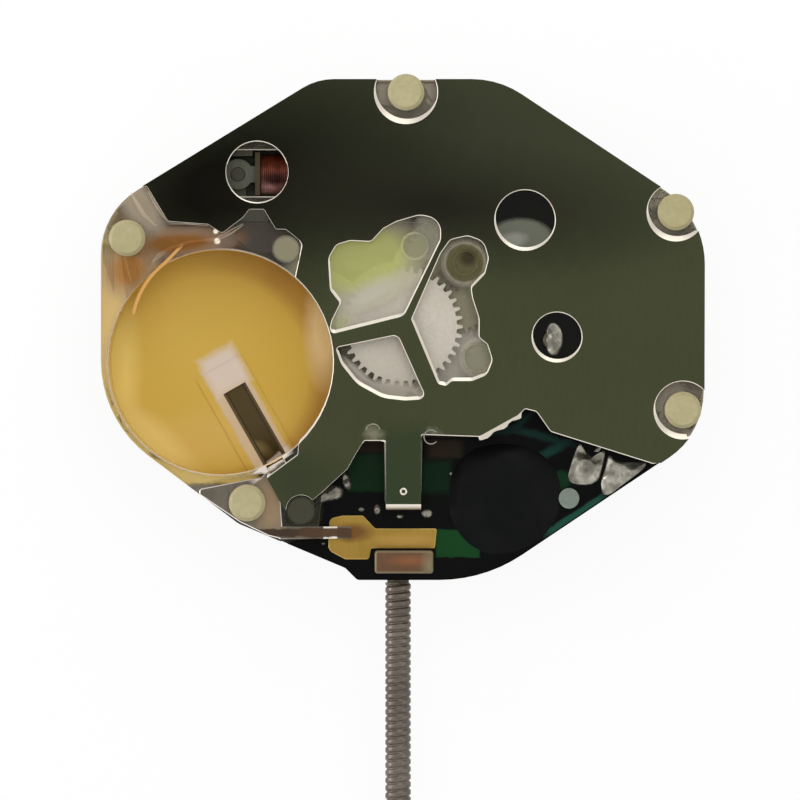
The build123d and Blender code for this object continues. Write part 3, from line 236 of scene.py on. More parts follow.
@dataclass(frozen=True)
class Finish:
    """One real material and how its surface was made, with any light or shade painted into its colour."""

    name: str
    colour: str
    shade: str
    metallic: float = 0.0
    roughness: float = 0.5
    grain: Grain = Grain.MOULDED
    grain_mm: float = 0.12
    relief_mm: float = 0.002
    specular: float = 0.5
    edge: str = ""
    patches: tuple[Patch, ...] = ()
    wobble_mm: float = 0.0
    cloud_mm: float = 2.0

    def material(self) -> bpy.types.Material:
        """Builds the finish, or finds it if it was built before.

        Returns:
            The material.
        """
        found = bpy.data.materials.get(self.name)
        if found:
            return found
        material = bpy.data.materials.new(self.name)
        material.use_nodes = True
        tree = material.node_tree
        tree.nodes.clear()
        place = add_node(tree, "ShaderNodeTexCoord").outputs["Object"]
        pattern = self.pattern(tree, place)
        spread = {"To Min": self.roughness * 0.85, "To Max": min(1.0, self.roughness * 1.15)}
        relief = {"Height": pattern, "Distance": self.relief_mm * MM, "Strength": 1.0}
        shader = add_node(
            tree,
            "ShaderNodeBsdfPrincipled",
            {
                "Base Color": self.tone(tree, place, pattern),
                "Metallic": self.metallic,
                "Roughness": add_node(tree, "ShaderNodeMapRange", {"Value": pattern, **spread}).outputs[0],
                "Specular IOR Level": self.specular,
                "Normal": add_node(tree, "ShaderNodeBump", relief).outputs[0],
            },
        )
        self.add_clearness(tree, place, shader)
        add_node(tree, "ShaderNodeOutputMaterial", {"Surface": shader.outputs[0]})
        return material

    def pattern(self, tree: Tree, place: Socket) -> Socket:
        """Fine pattern of the surface, from 0 to 1.

        Brush lines and moulded grit are really about 0.01 mm wide, which is too fine to show, so
        grain_mm draws them several times coarser.

        Args:
            tree: The material's tree.
            place: Socket of the place on the piece.

        Returns:
            Socket of the pattern.
        """
        scale = [stretch / (self.grain_mm * MM) for stretch in self.grain.value]
        mapped = add_node(tree, "ShaderNodeMapping", {"Vector": place, "Scale": scale}).outputs[0]
        grain = add_node(tree, "ShaderNodeTexNoise", {"Vector": mapped, "Scale": 1.0, "Detail": 3.0})
        return grain.outputs["Fac"]

    def tone(self, tree: Tree, place: Socket, pattern: Socket) -> Socket:
        """Colour: two tones in clouds and grain, then the patches and the bright edges.

        Args:
            tree: The material's tree.
            place: Socket of the place on the piece.
            pattern: Socket of the fine pattern.

        Returns:
            Socket of the colour.
        """
        waves = {"Vector": place, "Scale": 1 / (self.cloud_mm * MM), "Detail": 3.0}
        cloud = add_node(tree, "ShaderNodeTexNoise", waves).outputs["Fac"]
        layers = {0: cloud, 1: pattern, 2: 0.0}
        both = add_node(tree, "ShaderNodeMath", layers, operation="MULTIPLY_ADD").outputs[0]
        ends = {"Value": both, "From Min": 0.12, "From Max": 0.38}
        spread = add_node(tree, "ShaderNodeMapRange", ends).outputs[0]
        tones = {0: spread, 6: linear(self.shade), 7: linear(self.colour)}
        colour = add_node(tree, "ShaderNodeMix", tones, data_type="RGBA").outputs[2]
        if self.patches:
            place = self.wobbled(tree, place)
        colour = self.patched(tree, place, colour, [p for p in self.patches if not p.over_edge])
        if self.edge:
            ends = {"From Min": 0.985, "From Max": 0.94}
            lean = add_node(tree, "ShaderNodeMapRange", {"Value": height_share(tree), **ends}).outputs[0]
            tones = {0: lean, 6: colour, 7: linear(self.edge)}
            colour = add_node(tree, "ShaderNodeMix", tones, data_type="RGBA").outputs[2]
        return self.patched(tree, place, colour, [p for p in self.patches if p.over_edge])

    def patched(self, tree: Tree, place: Socket, colour: Socket, patches: list[Patch]) -> Socket:
        """Lays patches over a colour.

        Args:
            tree: The material's tree.
            place: Socket of the place on the piece.
            colour: Socket of the colour below.
            patches: The patches, the lowest first.

        Returns:
            Socket of the colour.
        """
        for patch in patches:
            tones = {0: patch.mask(tree, place), 6: colour, 7: linear(patch.colour)}
            colour = add_node(tree, "ShaderNodeMix", tones, data_type="RGBA").outputs[2]
        return colour

    def wobbled(self, tree: Tree, place: Socket) -> Socket:
        """Places pushed about a little, so that patches have uneven edges.

        Args:
            tree: The material's tree.
            place: Socket of the place on the piece.

        Returns:
            Socket of the pushed place.
        """
        waves = add_node(tree, "ShaderNodeTexNoise", {"Vector": place, "Scale": 3 / MM, "Detail": 2.0})
        push = self.wobble_mm * MM
        pushed = add_node(
            tree,
            "ShaderNodeVectorMath",
            {0: waves.outputs["Color"], 1: (push, push, 0), 2: place},
            operation="MULTIPLY_ADD",
        ).outputs[0]
        ends = {0: pushed, 1: (push / 2, push / 2, 0)}
        return add_node(tree, "ShaderNodeVectorMath", ends, operation="SUBTRACT").outputs[0]

    def add_clearness(self, tree: Tree, place: Socket, shader: Any) -> None:
        """Lets light through where the finish is clear; an opaque one has nothing to add."""


@dataclass(frozen=True)
class ClearFinish(Finish):
    """Clear moulded plastic: most light passes, and its rims and ribs are milky and bright, a painted highlight
    for the glint of clear edges.
    """

    clear_alpha: float = 0.025
    rim_alpha: float = 0.60

    def add_clearness(self, tree: Tree, place: Socket, shader: Any) -> None:
        """Feeds the alpha: low on flats, higher in patches that have one and on leaning faces.

        Args:
            tree: The material's tree.
            place: Socket of the place on the piece.
            shader: Node whose alpha is fed.
        """
        ends = {"From Min": 0.97, "From Max": 0.80, "To Min": self.clear_alpha, "To Max": self.rim_alpha}
        level = height_share(tree)
        alpha = add_node(tree, "ShaderNodeMapRange", {"Value": level, **ends}).outputs[0]
        for patch in self.patches:
            if patch.alpha is not None:
                shares = {0: patch.mask(tree, place), 2: alpha, 3: patch.alpha}
                alpha = add_node(tree, "ShaderNodeMix", shares, data_type="FLOAT").outputs[0]
        tree.links.new(alpha, shader.inputs["Alpha"])


# Heights at which patches show
ON_PLATE = {"level_mm": 2.3, "reach_mm": 0.4, "only_level": True}
ON_CORNER = {"level_mm": 2.2, "reach_mm": 0.5, "only_level": True}
ON_TRAIN_FLOOR = {"level_mm": 1.7, "reach_mm": 0.8, "only_level": True}
UNDER_PLATE = {"level_mm": 1.9, "reach_mm": 0.56, "only_level": True}
UNDER_TERMINAL = {"level_mm": 1.8, "reach_mm": 1.0, "only_level": True}
ON_LEAF = {"level_mm": 0.2, "reach_mm": 0.6}
UNDER_LEAF = {"level_mm": 0.2, "reach_mm": 0.3}
UNDER_HOLES = {"level_mm": 1.4, "reach_mm": 1.2}

# Plated steel sheet, brushed: dark olive on the flat, with painted dark reflections over its top and top left,
# bare metal where it was sheared
PLATED_STEEL = Finish(
    "plated_steel_sheet",
    "454833",
    "41442F",
    1.0,
    0.38,
    Grain.BRUSHED,
    0.06,
    0.0004,
    edge="CFC8BA",
    cloud_mm=4.0,
    wobble_mm=0.5,
    patches=(
        # Painted reflections: the flat darker over the top and top left
        Patch((430, 130), (230, 90), "383B2C", turn=-8, soft=1.6),
        Patch((225, 185), (150, 88), "0E0D0A", turn=18, soft=1.5),
        Patch((430, 205), (150, 40), "24231C", turn=-4, soft=1.7),
        Patch((376, 434), (11, 6), "7A7664", soft=1.0),
        Patch((432, 437), (9, 7), "68675A", soft=1.0),
        Patch((404, 470), (22, 42), "37402C", soft=0.5, shape=Shape.STRAIGHT),
        Patch((300, 480), (36, 26), "3A402D", soft=1.2),
    ),
)
# The same steel where a punch or a dimple rubbed it a little brighter
PRESSED_STEEL = Finish(
    "rubbed_plated_steel", "66665A", "54564A", 1.0, 0.42, Grain.MOULDED, 0.06, 0.0006, edge="8C8A7C"
)
# Clear polycarbonate: a see-through plate, tinted or frosted in places; its milky rims are a painted highlight
# for the glint of its edges, painted shade blackens the rotor and pin holes, and two painted glints sit on its
# rim
CLEAR_PLASTIC = ClearFinish(
    "clear_moulded_polycarbonate",
    "DED6C4",
    "CFC6B0",
    0.0,
    0.15,
    Grain.MOULDED,
    0.5,
    0.002,
    0.12,
    wobble_mm=0.10,
    patches=(
        Patch((356, 262), (60, 40), "BFC278", turn=14, soft=0.6, alpha=0.60),
        Patch((338, 312), (13, 24), "BDBE92", soft=0.8, alpha=0.55),
        Patch((366, 296), (40, 10), "D2CDB8", turn=24, soft=1.4, alpha=0.45),
        Patch((428, 235), (12, 20), "9C9A84", soft=0.8, alpha=0.45),
        Patch((358, 381), (32, 9), "C2B9AA", turn=-45, soft=0.6, alpha=0.45),
        Patch((392, 393), (36, 11), "B8B0A0", turn=-6, soft=0.6, alpha=0.50),
        Patch((415, 246), (12, 12), "A6A582", soft=0.4, alpha=0.45),
        Patch((465, 263), (21, 21), "6A6644", soft=0.35, alpha=0.50),
        Patch((468, 258), (8, 8), "3A3622", soft=0.8, alpha=0.70),
        Patch((478, 358), (16, 18), "96947C", soft=0.4, alpha=0.50),
        Patch((492, 320), (10, 40), "8E8C76", soft=0.8, alpha=0.30),
        # Painted shade: the rotor hole dark
        Patch((524, 219), (38, 38), "0D0E08", soft=0.1, alpha=0.80),
        Patch((522, 236), (30, 17), "66675A", turn=-4, soft=0.25, alpha=0.85),
        Patch((513, 240), (13, 7), "84857A", turn=10, soft=0.8, alpha=0.90),
        # Painted shade: the pin hole black
        Patch((557, 337), (32, 32), "060602", soft=0.1, alpha=0.92),
        Patch((140, 206), (15, 34), "C9BAA0", turn=32, soft=0.7, alpha=0.45),
        Patch((178, 243), (44, 12), "A06C34", turn=4, soft=0.9, alpha=0.50),
        Patch((128, 270), (24, 22), "B5793A", turn=30, soft=1.0, alpha=0.45),
        Patch((286, 249), (12.5, 12.5), "B4AC8C", soft=0.3, alpha=0.50),
        Patch((302, 511), (22, 22), "4C4E3A", soft=0.2, shape=Shape.STRAIGHT, alpha=0.10),
        Patch((301, 511), (14, 14), "5A5B48", soft=0.3, alpha=0.45),
        # Painted glints on the rim
        Patch((215.5, 231), (2.6, 2.6), "FFF6E4", soft=0.6, alpha=0.95),
        Patch((217, 241), (3.0, 3.0), "FFF2DC", soft=0.6, alpha=0.95),
        Patch((270, 465), (23, 4), "DCD2C4", turn=37.5, soft=0.4, shape=Shape.STRAIGHT, alpha=0.92),
    ),
)
# Acetal of the main plate: waxy cream posts; painted shade makes its level faces under the bridge dark brown and
# darkens it in the slot and under the holes, and painted amber light from the film yellows it by the well
CREAM_ACETAL = Finish(
    "cream_moulded_acetal",
    "AEA57E",
    "A2986F",
    0.0,
    0.45,
    Grain.MOULDED,
    0.15,
    0.003,
    0.3,
    wobble_mm=0.25,
    patches=(
        # Painted shade: the plate's level faces under the bridge dark brown
        Patch((410, 330), (290, 252), "2A241A", soft=0.02, shape=Shape.STRAIGHT, **UNDER_PLATE),
        # Painted amber light from the film, on the plate by the well
        Patch((165, 400), (94, 84), "C9AE62", soft=0.06, shape=Shape.STRAIGHT, **ON_PLATE),
        Patch((104, 320), (60, 75), "D0B270", soft=0.3, shape=Shape.STRAIGHT, **ON_PLATE),
        Patch((140, 212), (36, 40), "957F62", turn=30, soft=0.6, **ON_CORNER),
        Patch((186, 244), (52, 19), "8A5822", turn=6, soft=0.7, **ON_CORNER),
        Patch((222, 498), (42, 13), "766F62", turn=-20, soft=0.3, **UNDER_TERMINAL),
        Patch((360, 270), (52, 50), "B0B45C", soft=0.3, **ON_TRAIN_FLOOR),
        Patch((466, 318), (46, 76), "8C8872", soft=0.3, **ON_TRAIN_FLOOR),
        Patch((372, 392), (50, 44), "A29A88", soft=0.3, **ON_TRAIN_FLOOR),
        *(Patch(post, (33, 33), "958D7A", soft=0.2, **ON_PLATE) for post in NOTCHED_POSTS_PX),
        # Painted shade: dark on the slot's walls and under the holes of the cover and bridge
        Patch((252, 424), (64, 30), "5A4A28", turn=-60.3, soft=0.1, shape=Shape.STRAIGHT, **UNDER_LEAF),
        Patch((254, 172), (42, 42), "3A382A", soft=0.3, **UNDER_HOLES),
        Patch((557, 337), (32, 32), "0A0906", soft=0.3, only_level=True, **UNDER_HOLES),
        Patch((525, 205), (34, 24), "12130C", soft=0.4, only_level=True, **UNDER_HOLES),
    ),
)
# Black moulded plastic of the spacer and the coil's flanges: near black, browner on the flange in the round hole
BLACK_PLASTIC = Finish(
    "black_moulded_plastic",
    "0C0B09",
    "060605",
    0.0,
    0.45,
    Grain.MOULDED,
    0.10,
    0.002,
    0.05,
    patches=(Patch((256, 172), (9, 26), "4A4030", soft=0.4, shape=Shape.STRAIGHT),),
)
# Solder mask over copper: black-green lacquer, greener where copper lies under it, with painted teal sheen by
# the resin's ragged edge
SOLDER_MASK = Finish(
    "solder_mask_on_glass_epoxy",
    "060806",
    "030403",
    0.0,
    0.32,
    Grain.MOULDED,
    0.20,
    0.002,
    0.05,
    wobble_mm=0.12,
    patches=(
        Patch((368, 473), (20, 19), "0C2410", soft=0.2, shape=Shape.STRAIGHT),
        Patch((371, 446), (13, 7), "211810", soft=0.4, shape=Shape.STRAIGHT),
        Patch((436, 477), (15, 16), "0A1F10", soft=0.5, shape=Shape.STRAIGHT),
        Patch((445, 449), (17, 9), "231C12", soft=0.5, shape=Shape.STRAIGHT),
        Patch((458, 544), (22, 14), "123A1A", soft=0.1, shape=Shape.STRAIGHT),
        Patch((484, 534), (24, 13), "060806", turn=-45, soft=0.1, shape=Shape.STRAIGHT),
        Patch((562, 480), (9, 9), "0D2A16", soft=0.5),
        Patch((577, 518), (34, 6), "1B4538", turn=33, soft=0.4, shape=Shape.STRAIGHT),
        # Painted sheen: teal streaks by the resin's ragged edge
        Patch((540, 436), (30, 4), "0F2A24", turn=-14, soft=1.0),
        Patch((550, 452), (20, 4), "10302A", turn=28, soft=1.0),
        Patch((520, 424), (14, 3), "0C2420", turn=40, soft=1.0),
        Patch((500, 432), (20, 3), "0C201C", turn=8, soft=1.0),
    ),
)
# Epoxy poured over the chip: black with a dim gloss
POURED_RESIN = Finish("poured_epoxy_resin", "080908", "040505", 0.0, 0.42, Grain.POURED, 0.35, 0.01, 0.08)
# Tin solder: light and dark in small clouds, a painted highlight and shade that stand in for the shading of its
# lumps
TIN_SOLDER = Finish(
    "tin_solder", "A4A094", "55534A", 0.85, 0.34, Grain.POURED, 0.16, 0.02, cloud_mm=0.5
)
# Tinned copper of the test dot: even and dull
DULL_TIN = Finish("reflowed_tin_on_copper", "7E887C", "6C766C", 0.6, 0.5, Grain.MOULDED, 0.15, 0.002)
# Gold flash over copper: warm, darker brown near the contact's finger and paler along its arm; paler peach over
# the positive spring, partly a painted highlight along its arc
GOLD_FLASH = Finish(
    "gold_flash_on_copper",
    "9E8038",
    "927430",
    0.8,
    0.42,
    Grain.BRUSHED,
    0.10,
    0.002,
    edge="C4A860",
    wobble_mm=0.15,
    patches=(
        Patch((352, 533), (18, 8), "6E4C24", soft=0.9),
        Patch((405, 541), (26, 5), "A88442", soft=1.0),
        # Partly painted highlight: the positive spring paler peach
        Patch((150, 270), (60, 50), "CC9A58", soft=0.3),
    ),
)
# Beryllium bronze of the reset block: brown, greyer towards its rounded foot
BRONZE = Finish(
    "tarnished_spring_bronze",
    "5E4026",
    "523720",
    0.35,
    0.5,
    Grain.MOULDED,
    0.12,
    0.004,
    edge="7A6E52",
    patches=(
        Patch((410, 561), (15, 4), "7A4A28", soft=1.6),
        Patch((430, 566), (6, 12), "756A4C", soft=1.6, over_edge=True),
    ),
)
# Rolled spring steel: brown-grey reflections with bright sheared edges
SPRING_STEEL = Finish(
    "rolled_spring_steel", "7C7264", "6A6054", 0.8, 0.40, Grain.BRUSHED, 0.06, 0.001, edge="CFC8BC"
)
# The same steel in the battery terminal, with painted dark reflections on the leaf inside the well and along the
# finger
TERMINAL_STEEL = Finish(
    "spring_steel_with_painted_dark_reflections",
    "6E675B",
    "5C5448",
    0.7,
    0.38,
    Grain.BRUSHED,
    0.10,
    0.001,
    edge="E4DCD2",
    wobble_mm=0.15,
    patches=(
        Patch((271, 505), (16, 26), "917C60", soft=0.9),
        Patch((204, 496), (14, 10), "5E574B", soft=0.9),
        # Painted dark reflections along the finger and on the leaf in the slot
        Patch((298, 533), (60, 4.2), "3C2E23", soft=0.4, shape=Shape.STRAIGHT),
        Patch((326, 533), (28, 4.2), "4A3624", soft=0.4, shape=Shape.STRAIGHT, over_edge=True),
        Patch((252, 424), (64, 26), "483A1D", turn=-60.3, soft=0.05, shape=Shape.STRAIGHT, **ON_LEAF),
        Patch((258, 449), (11, 5), "74683F", turn=-30, soft=1.2, **ON_LEAF),
        Patch((270, 465), (23, 5), "D8CDBE", turn=37.5, soft=0.4, shape=Shape.STRAIGHT, over_edge=True),
    ),
)
# Turned and polished carbon steel of screws and arbors: bright, with fine turning lines
POLISHED_STEEL = Finish("polished_carbon_steel", "B8B6AE", "8E8C84", 1.0, 0.25, Grain.TURNED, 0.05, 0.0005)
# Hobbed steel left as cut: a dull grey-olive
BLUNT_STEEL = Finish("hobbed_pinion_steel", "5E5B4A", "4A483A", 0.8, 0.40, Grain.TURNED, 0.05, 0.0005)
# Steel stem with a rolled thread: satin crests, dark roots
STEM_STEEL = Finish("rolled_thread_steel", "6E655D", "564D46", 0.75, 0.36, Grain.TURNED, 0.10, 0.002)
# Drawn and tinned can of the crystal: pale, with long draw lines
TINNED_CAN = Finish("drawn_tinned_can", "B8B6AC", "A09E94", 0.9, 0.30, Grain.BRUSHED, 0.08, 0.001)
# Annealed soft iron of the core and stator: dull grey-green
SOFT_IRON = Finish("annealed_soft_iron", "66675A", "54554A", 0.8, 0.48, Grain.BRUSHED, 0.08, 0.001)
# Sintered magnet: dark and grainy
SINTERED_MAGNET = Finish("sintered_magnet", "3C3B33", "282722", 0.5, 0.55, Grain.MOULDED, 0.05, 0.003)
# Polyimide film: glossy amber, whitish where it is pressed up round the slot; painted shade leaves a darker ring
# at its rim on the top and right, painted light makes it paler towards the left and bottom left, and painted
# highlights run along its right rim and the top of its wall
AMBER_FILM = Finish(
    "amber_polyimide_film",
    "B98E3A",
    "B08738",
    0.0,
    0.34,
    Grain.MOULDED,
    1.5,
    0.003,
    0.15,
    wobble_mm=0.12,
    patches=(
        # Painted shade: the base tone stays as a darker ring at the rim, paler inside
        Patch((210, 374), (104, 104), "C8A645", soft=0.14),
        # Painted light: paler towards the left and bottom left, and a painted highlight by the right rim
        Patch((170, 330), (60, 90), "CDAC4D", soft=1.6),
        Patch((200, 440), (70, 26), "D0AE58", turn=14, soft=1.2),
        Patch((114, 372), (18, 70), "E2C870", soft=1.0),
        Patch((146, 438), (52, 16), "DCC272", turn=-40, soft=1.0),
        Patch((323, 328), (16, 48), "E0C690", soft=0.9),
        Patch((243.8, 413), (58, 19.5), "CCB695", turn=-60.3, soft=0.16, shape=Shape.STRAIGHT),
        Patch((222, 370), (20, 19), "D6C6B6", turn=-60.3, soft=0.5, shape=Shape.STRAIGHT),
        Patch((270, 465), (23, 5), "DED2C2", turn=37.5, soft=0.4, shape=Shape.STRAIGHT),
        # Painted highlight: peach along the top of the film's wall
        Patch((220, 362), (130, 130), "E2BE92", soft=0.02, shape=Shape.STRAIGHT, level_mm=2.3, reach_mm=0.05),
    ),
)
# Acetal of the white wheels: even and a little warm, with a soft gloss
WHITE_ACETAL = Finish("white_moulded_acetal", "CFC7B9", "C2BAAA", 0.0, 0.5, Grain.MOULDED, 0.10, 0.002, 0.3)
# The same plastic tinted olive
OLIVE_ACETAL = Finish("olive_moulded_acetal", "918D72", "858064", 0.0, 0.5, Grain.MOULDED, 0.10, 0.002, 0.3)
# Turned brass: yellow, with fine turning lines
TURNED_BRASS = Finish("turned_brass", "B8984E", "9C7E3C", 1.0, 0.32, Grain.TURNED, 0.05, 0.001)
# Nickel over brass: grey with a warm cast
NICKEL_BRASS = Finish("nickel_plated_brass", "77725F", "666252", 0.9, 0.38, Grain.TURNED, 0.05, 0.001)
# Enamelled copper wire: dark red-brown lacquer over copper, with a painted pinkish highlight and a painted dark
# shadow on the coil
ENAMELLED_WIRE = Finish(
    "enamelled_copper_wire",
    "7C3A26",
    "4E2014",
    0.45,
    0.40,
    Grain.MOULDED,
    0.20,
    0.002,
    # Painted highlight and painted shadow on the coil
    patches=(Patch((268, 188), (12, 8), "C8948A", soft=1.2), Patch((274, 178), (14, 6), "35100A", soft=1.0)),
)


# ---- making and placing pieces


def body_of(node: str) -> str:
    """Body that the record puts a node on."""
    return next(b for b, nodes in frame["record"]["behaviour"]["bodies"].items() if node in nodes)


def dress(piece: bpy.types.Object, finish: Finish) -> None:
    """Gives a piece one finish."""
    piece.data.materials.clear()
    piece.data.materials.append(finish.material())


def keep(mesh: Solid, name: str, smooth_degrees: float = 35) -> bpy.types.Object:
    """Turns worked geometry into an object of the scene.

    Args:
        mesh: The geometry, freed afterwards.
        name: Name of the new object.
        smooth_degrees: Edges sharper than this stay sharp.

    Returns:
        The new object, linked to the scene.
    """
    data = bpy.data.meshes.new(name)
    mesh.to_mesh(data)
    mesh.free()
    data.shade_smooth()
    data.set_sharp_from_angle(angle=math.radians(smooth_degrees))
    piece = bpy.data.objects.new(name, data)
    bpy.context.scene.collection.objects.link(piece)
    return piece


def mount(
    mesh: Solid, name: str, finish: Finish, like: str, *replaced: str, smooth_degrees: float = 35
) -> bpy.types.Object:
    """Puts worked geometry on the body of a CAD node, and may hide nodes.

    Args:
        mesh: The geometry.
        name: Name of the piece.
        finish: Its finish.
        like: CAD node whose body it takes.
        *replaced: CAD nodes that it stands for.
        smooth_degrees: Edges sharper than this stay sharp.

    Returns:
        The new piece.
    """
    piece = keep(mesh, name, smooth_degrees)
    dress(piece, finish)
    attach(piece, body_of(like))
    if replaced:
        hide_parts(*replaced)
    return piece


def solid_of(node: str) -> Solid:
    """Clean geometry of a CAD node: merged, with its flat faces whole.

    Args:
        node: The CAD node.

    Returns:
        A copy of its geometry.
    """
    mesh = bmesh.new()
    mesh.from_mesh(frame["nodes"][node].data)
    bmesh.ops.remove_doubles(mesh, verts=mesh.verts, dist=SAME_PLACE / 2)
    bmesh.ops.dissolve_limit(mesh, angle_limit=math.radians(1), verts=mesh.verts, edges=mesh.edges)
    return mesh


def is_corner(edge: bmesh.types.BMEdge, degrees: float = 40) -> bool:
    """True if the faces beside an edge meet at a clear angle."""
    return len(edge.link_faces) == 2 and edge.calc_face_angle(0) > math.radians(degrees)


def is_level_at(edge: bmesh.types.BMEdge, level: float) -> bool:
    """True if an edge lies at one height."""
    return all(abs(v.co.z - level) < SAME_PLACE for v in edge.verts)


def soften(mesh: Solid, width: float, pick: Callable[[bmesh.types.BMEdge], bool], segments: int = 2) -> None:
    """Rounds the picked edges of a solid.

    Args:
        mesh: The geometry to work on.
        width: How far the rounding reaches from each edge.
        pick: Tells which edges are rounded.
        segments: Faces across the rounding.
    """
    edges = [edge for edge in mesh.edges if pick(edge)]
    bmesh.ops.bevel(
        mesh, geom=edges, offset=width, segments=segments, profile=0.5, affect="EDGES", clamp_overlap=False
    )


def wall_direction(vertex: bmesh.types.BMVert) -> Vector:
    """Level direction that the walls at a vertex face, or nothing if it has none."""
    walls = [f.normal for f in vertex.link_faces if abs(f.normal.z) < WALL_SHARE]
    return sum(walls, Vector((0, 0, 0))).to_2d().normalized()


def cut_uprights(mesh: Solid, top: float, height: float) -> list[bmesh.types.BMVert]:
    """Cuts the walls of a level sheet once, half way down.

    Args:
        mesh: The sheet.
        top: Height of its top.
        height: Its thickness.

    Returns:
        The vertices of the cut.
    """
    uprights = [
        e
        for e in mesh.edges
        if abs(max(v.co.z for v in e.verts) - top) < SAME_PLACE
        and abs(min(v.co.z for v in e.verts) - top + height) < SAME_PLACE
    ]
    bmesh.ops.subdivide_edges(mesh, edges=uprights, cuts=1, use_grid_fill=True)
    mesh.verts.ensure_lookup_table()
    mesh.normal_update()
    middle = top - height / 2
    return [v for v in mesh.verts if abs(v.co.z - middle) < SAME_PLACE / 2 and wall_direction(v).length]


def slope_rims(rims: list[bmesh.types.BMVert], top: float, reach: float, slope: float) -> None:
    """Draws cut walls outwards, so that a narrow slope runs down from the top.

    Args:
        rims: The vertices of the cut.
        top: Height of the top.
        reach: How far the slope reaches from the top's outline.
        slope: Fall of the slope for each unit of its reach.
    """
    moves = [(v, (wall_direction(v) * reach).to_3d()) for v in rims]
    for vertex, move in moves:
        vertex.co += move
        vertex.co.z = top - slope * reach


def dressed_copy(node: str, name: str, finish: Finish, width: float, levels: Iterable[float]) -> None:
    """Replaces a CAD node by a copy whose upper edges are softened.

    Args:
        node: The CAD node.
        name: Name of the copy.
        finish: Its finish.
        width: How far the softening reaches.
        levels: Heights of the edges that are softened.
    """
    mesh = solid_of(node)
    heights = list(levels)
    soften(mesh, width, lambda edge: is_corner(edge) and any(is_level_at(edge, level) for level in heights))
    mount(mesh, name, finish, node, node)


def rounded(corners: Iterable[Point], rounds: int = 3) -> list[Vector]:
    """Closed outline with its corners cut again and again until it is smooth.

    Args:
        corners: Corners in pixels of the photograph.
        rounds: How often the corners are cut.

    Returns:
        Points of the outline in metres.
    """
    points = [Vector(at(*corner)) for corner in corners]
    for _ in range(rounds):
        ends = points[1:] + points[:1]
        points = [p for a, b in zip(points, ends) for p in (a.lerp(b, 0.25), a.lerp(b, 0.75))]
    return points


def cut_off(mesh: Solid, place: Vector, away: Vector) -> None:
    """Cuts away what lies beyond a plane and closes the cut.

    Args:
        mesh: The geometry.
        place: A point of the plane.
        away: Direction of the side that goes.
    """
    geometry = mesh.verts[:] + mesh.edges[:] + mesh.faces[:]
    ends = bmesh.ops.bisect_plane(
        mesh, geom=geometry, plane_co=place, plane_no=away, clear_outer=True, dist=SAME_PLACE / 10
    )
    bmesh.ops.holes_fill(mesh, edges=[e for e in ends["geom_cut"] if isinstance(e, bmesh.types.BMEdge)])


@dataclass(frozen=True)
class Drop:
    """Something that was poured or melted on: an outline with an uneven, rounded top."""

    corners_px: tuple[Point, ...]
    low: float
    rise: float
    squareness: float = 4.0
    steepness: float = 0.5
    lumps: float = 0.25
    lump_size: float = 0.3 * MM
    rings: int = 9
    seed: int = 0
    rounds: int = 3

    def add_to(self, mesh: Solid) -> None:
        """Adds the drop to some geometry as a closed solid of its own.

        Args:
            mesh: Geometry that it is added to.
        """
        outline = rounded(self.corners_px, self.rounds)
        centre = sum(outline, Vector((0, 0))) / len(outline)
        rows = []
        for ring in range(self.rings + 1):
            share = math.cos(ring / self.rings * math.pi / 2)
            rise = self.rise * (1 - share**self.squareness) ** self.steepness
            if ring == self.rings:
                rows.append([mesh.verts.new(self.uneven(centre, rise))])
            else:
                rows.append([mesh.verts.new(self.uneven(centre.lerp(p, share), rise)) for p in outline])
        mesh.faces.new(rows[0][::-1])
        for lower, upper in zip(rows, rows[1:]):
            for i, (a, b) in enumerate(zip(lower, lower[1:] + lower[:1])):
                if len(upper) == 1:
                    mesh.faces.new((a, b, upper[0]))
                else:
                    mesh.faces.new((a, b, upper[(i + 1) % len(upper)], upper[i]))

    def uneven(self, place: Vector, rise: float) -> tuple[float, float, float]:
        """Place on the drop's top, pushed up or down by its lumps."""
        sample = Vector((place.x, place.y, self.seed * MM)) / self.lump_size
        return place.x, place.y, self.low + rise * (1 + self.lumps * (noise.noise(sample) - 0.3))


def drops(items: Iterable[Drop]) -> Solid:
    """Geometry of several drops together.

    Args:
        items: The drops.

    Returns:
        Their closed solids in one geometry.
    """
    mesh = bmesh.new()
    for item in items:
        item.add_to(mesh)
    bmesh.ops.recalc_face_normals(mesh, faces=mesh.faces)
    return mesh


def add_ring(
    mesh: Solid, place: Point, level: float, radius: float, thickness: float, sweep: Point = (0, 360)
) -> None:
    """Adds a round-bodied ring, or a part of one, lying half sunk in a level face.

    Args:
        mesh: Geometry that it is added to.
        place: Its centre.
        level: Height of its centre line.
        radius: Radius of its centre line.
        thickness: Radius of its body.
        sweep: First and last angle in degrees.
    """
    steps, sides = 28, 8
    closed = sweep[1] - sweep[0] >= 360
    rows = []
    for step in range(steps if closed else steps + 1):
        turn = math.radians(sweep[0] + (sweep[1] - sweep[0]) * step / steps)
        ahead, aside = math.cos(turn), math.sin(turn)
        row = []
        for side in range(sides):
            lean = 2 * math.pi * side / sides
            reach = radius + thickness * math.cos(lean)
            height = level + thickness * math.sin(lean)
            row.append(mesh.verts.new((place[0] + reach * ahead, place[1] + reach * aside, height)))
        rows.append(row)
    pairs = list(zip(rows, rows[1:] + rows[:1])) if closed else list(zip(rows, rows[1:]))
    faces = [
        mesh.faces.new((a[i], a[(i + 1) % sides], b[(i + 1) % sides], b[i]))
        for a, b in pairs
        for i in range(sides)
    ]
    if not closed:
        faces += [mesh.faces.new(rows[0]), mesh.faces.new(rows[-1][::-1])]
    bmesh.ops.recalc_face_normals(mesh, faces=faces)


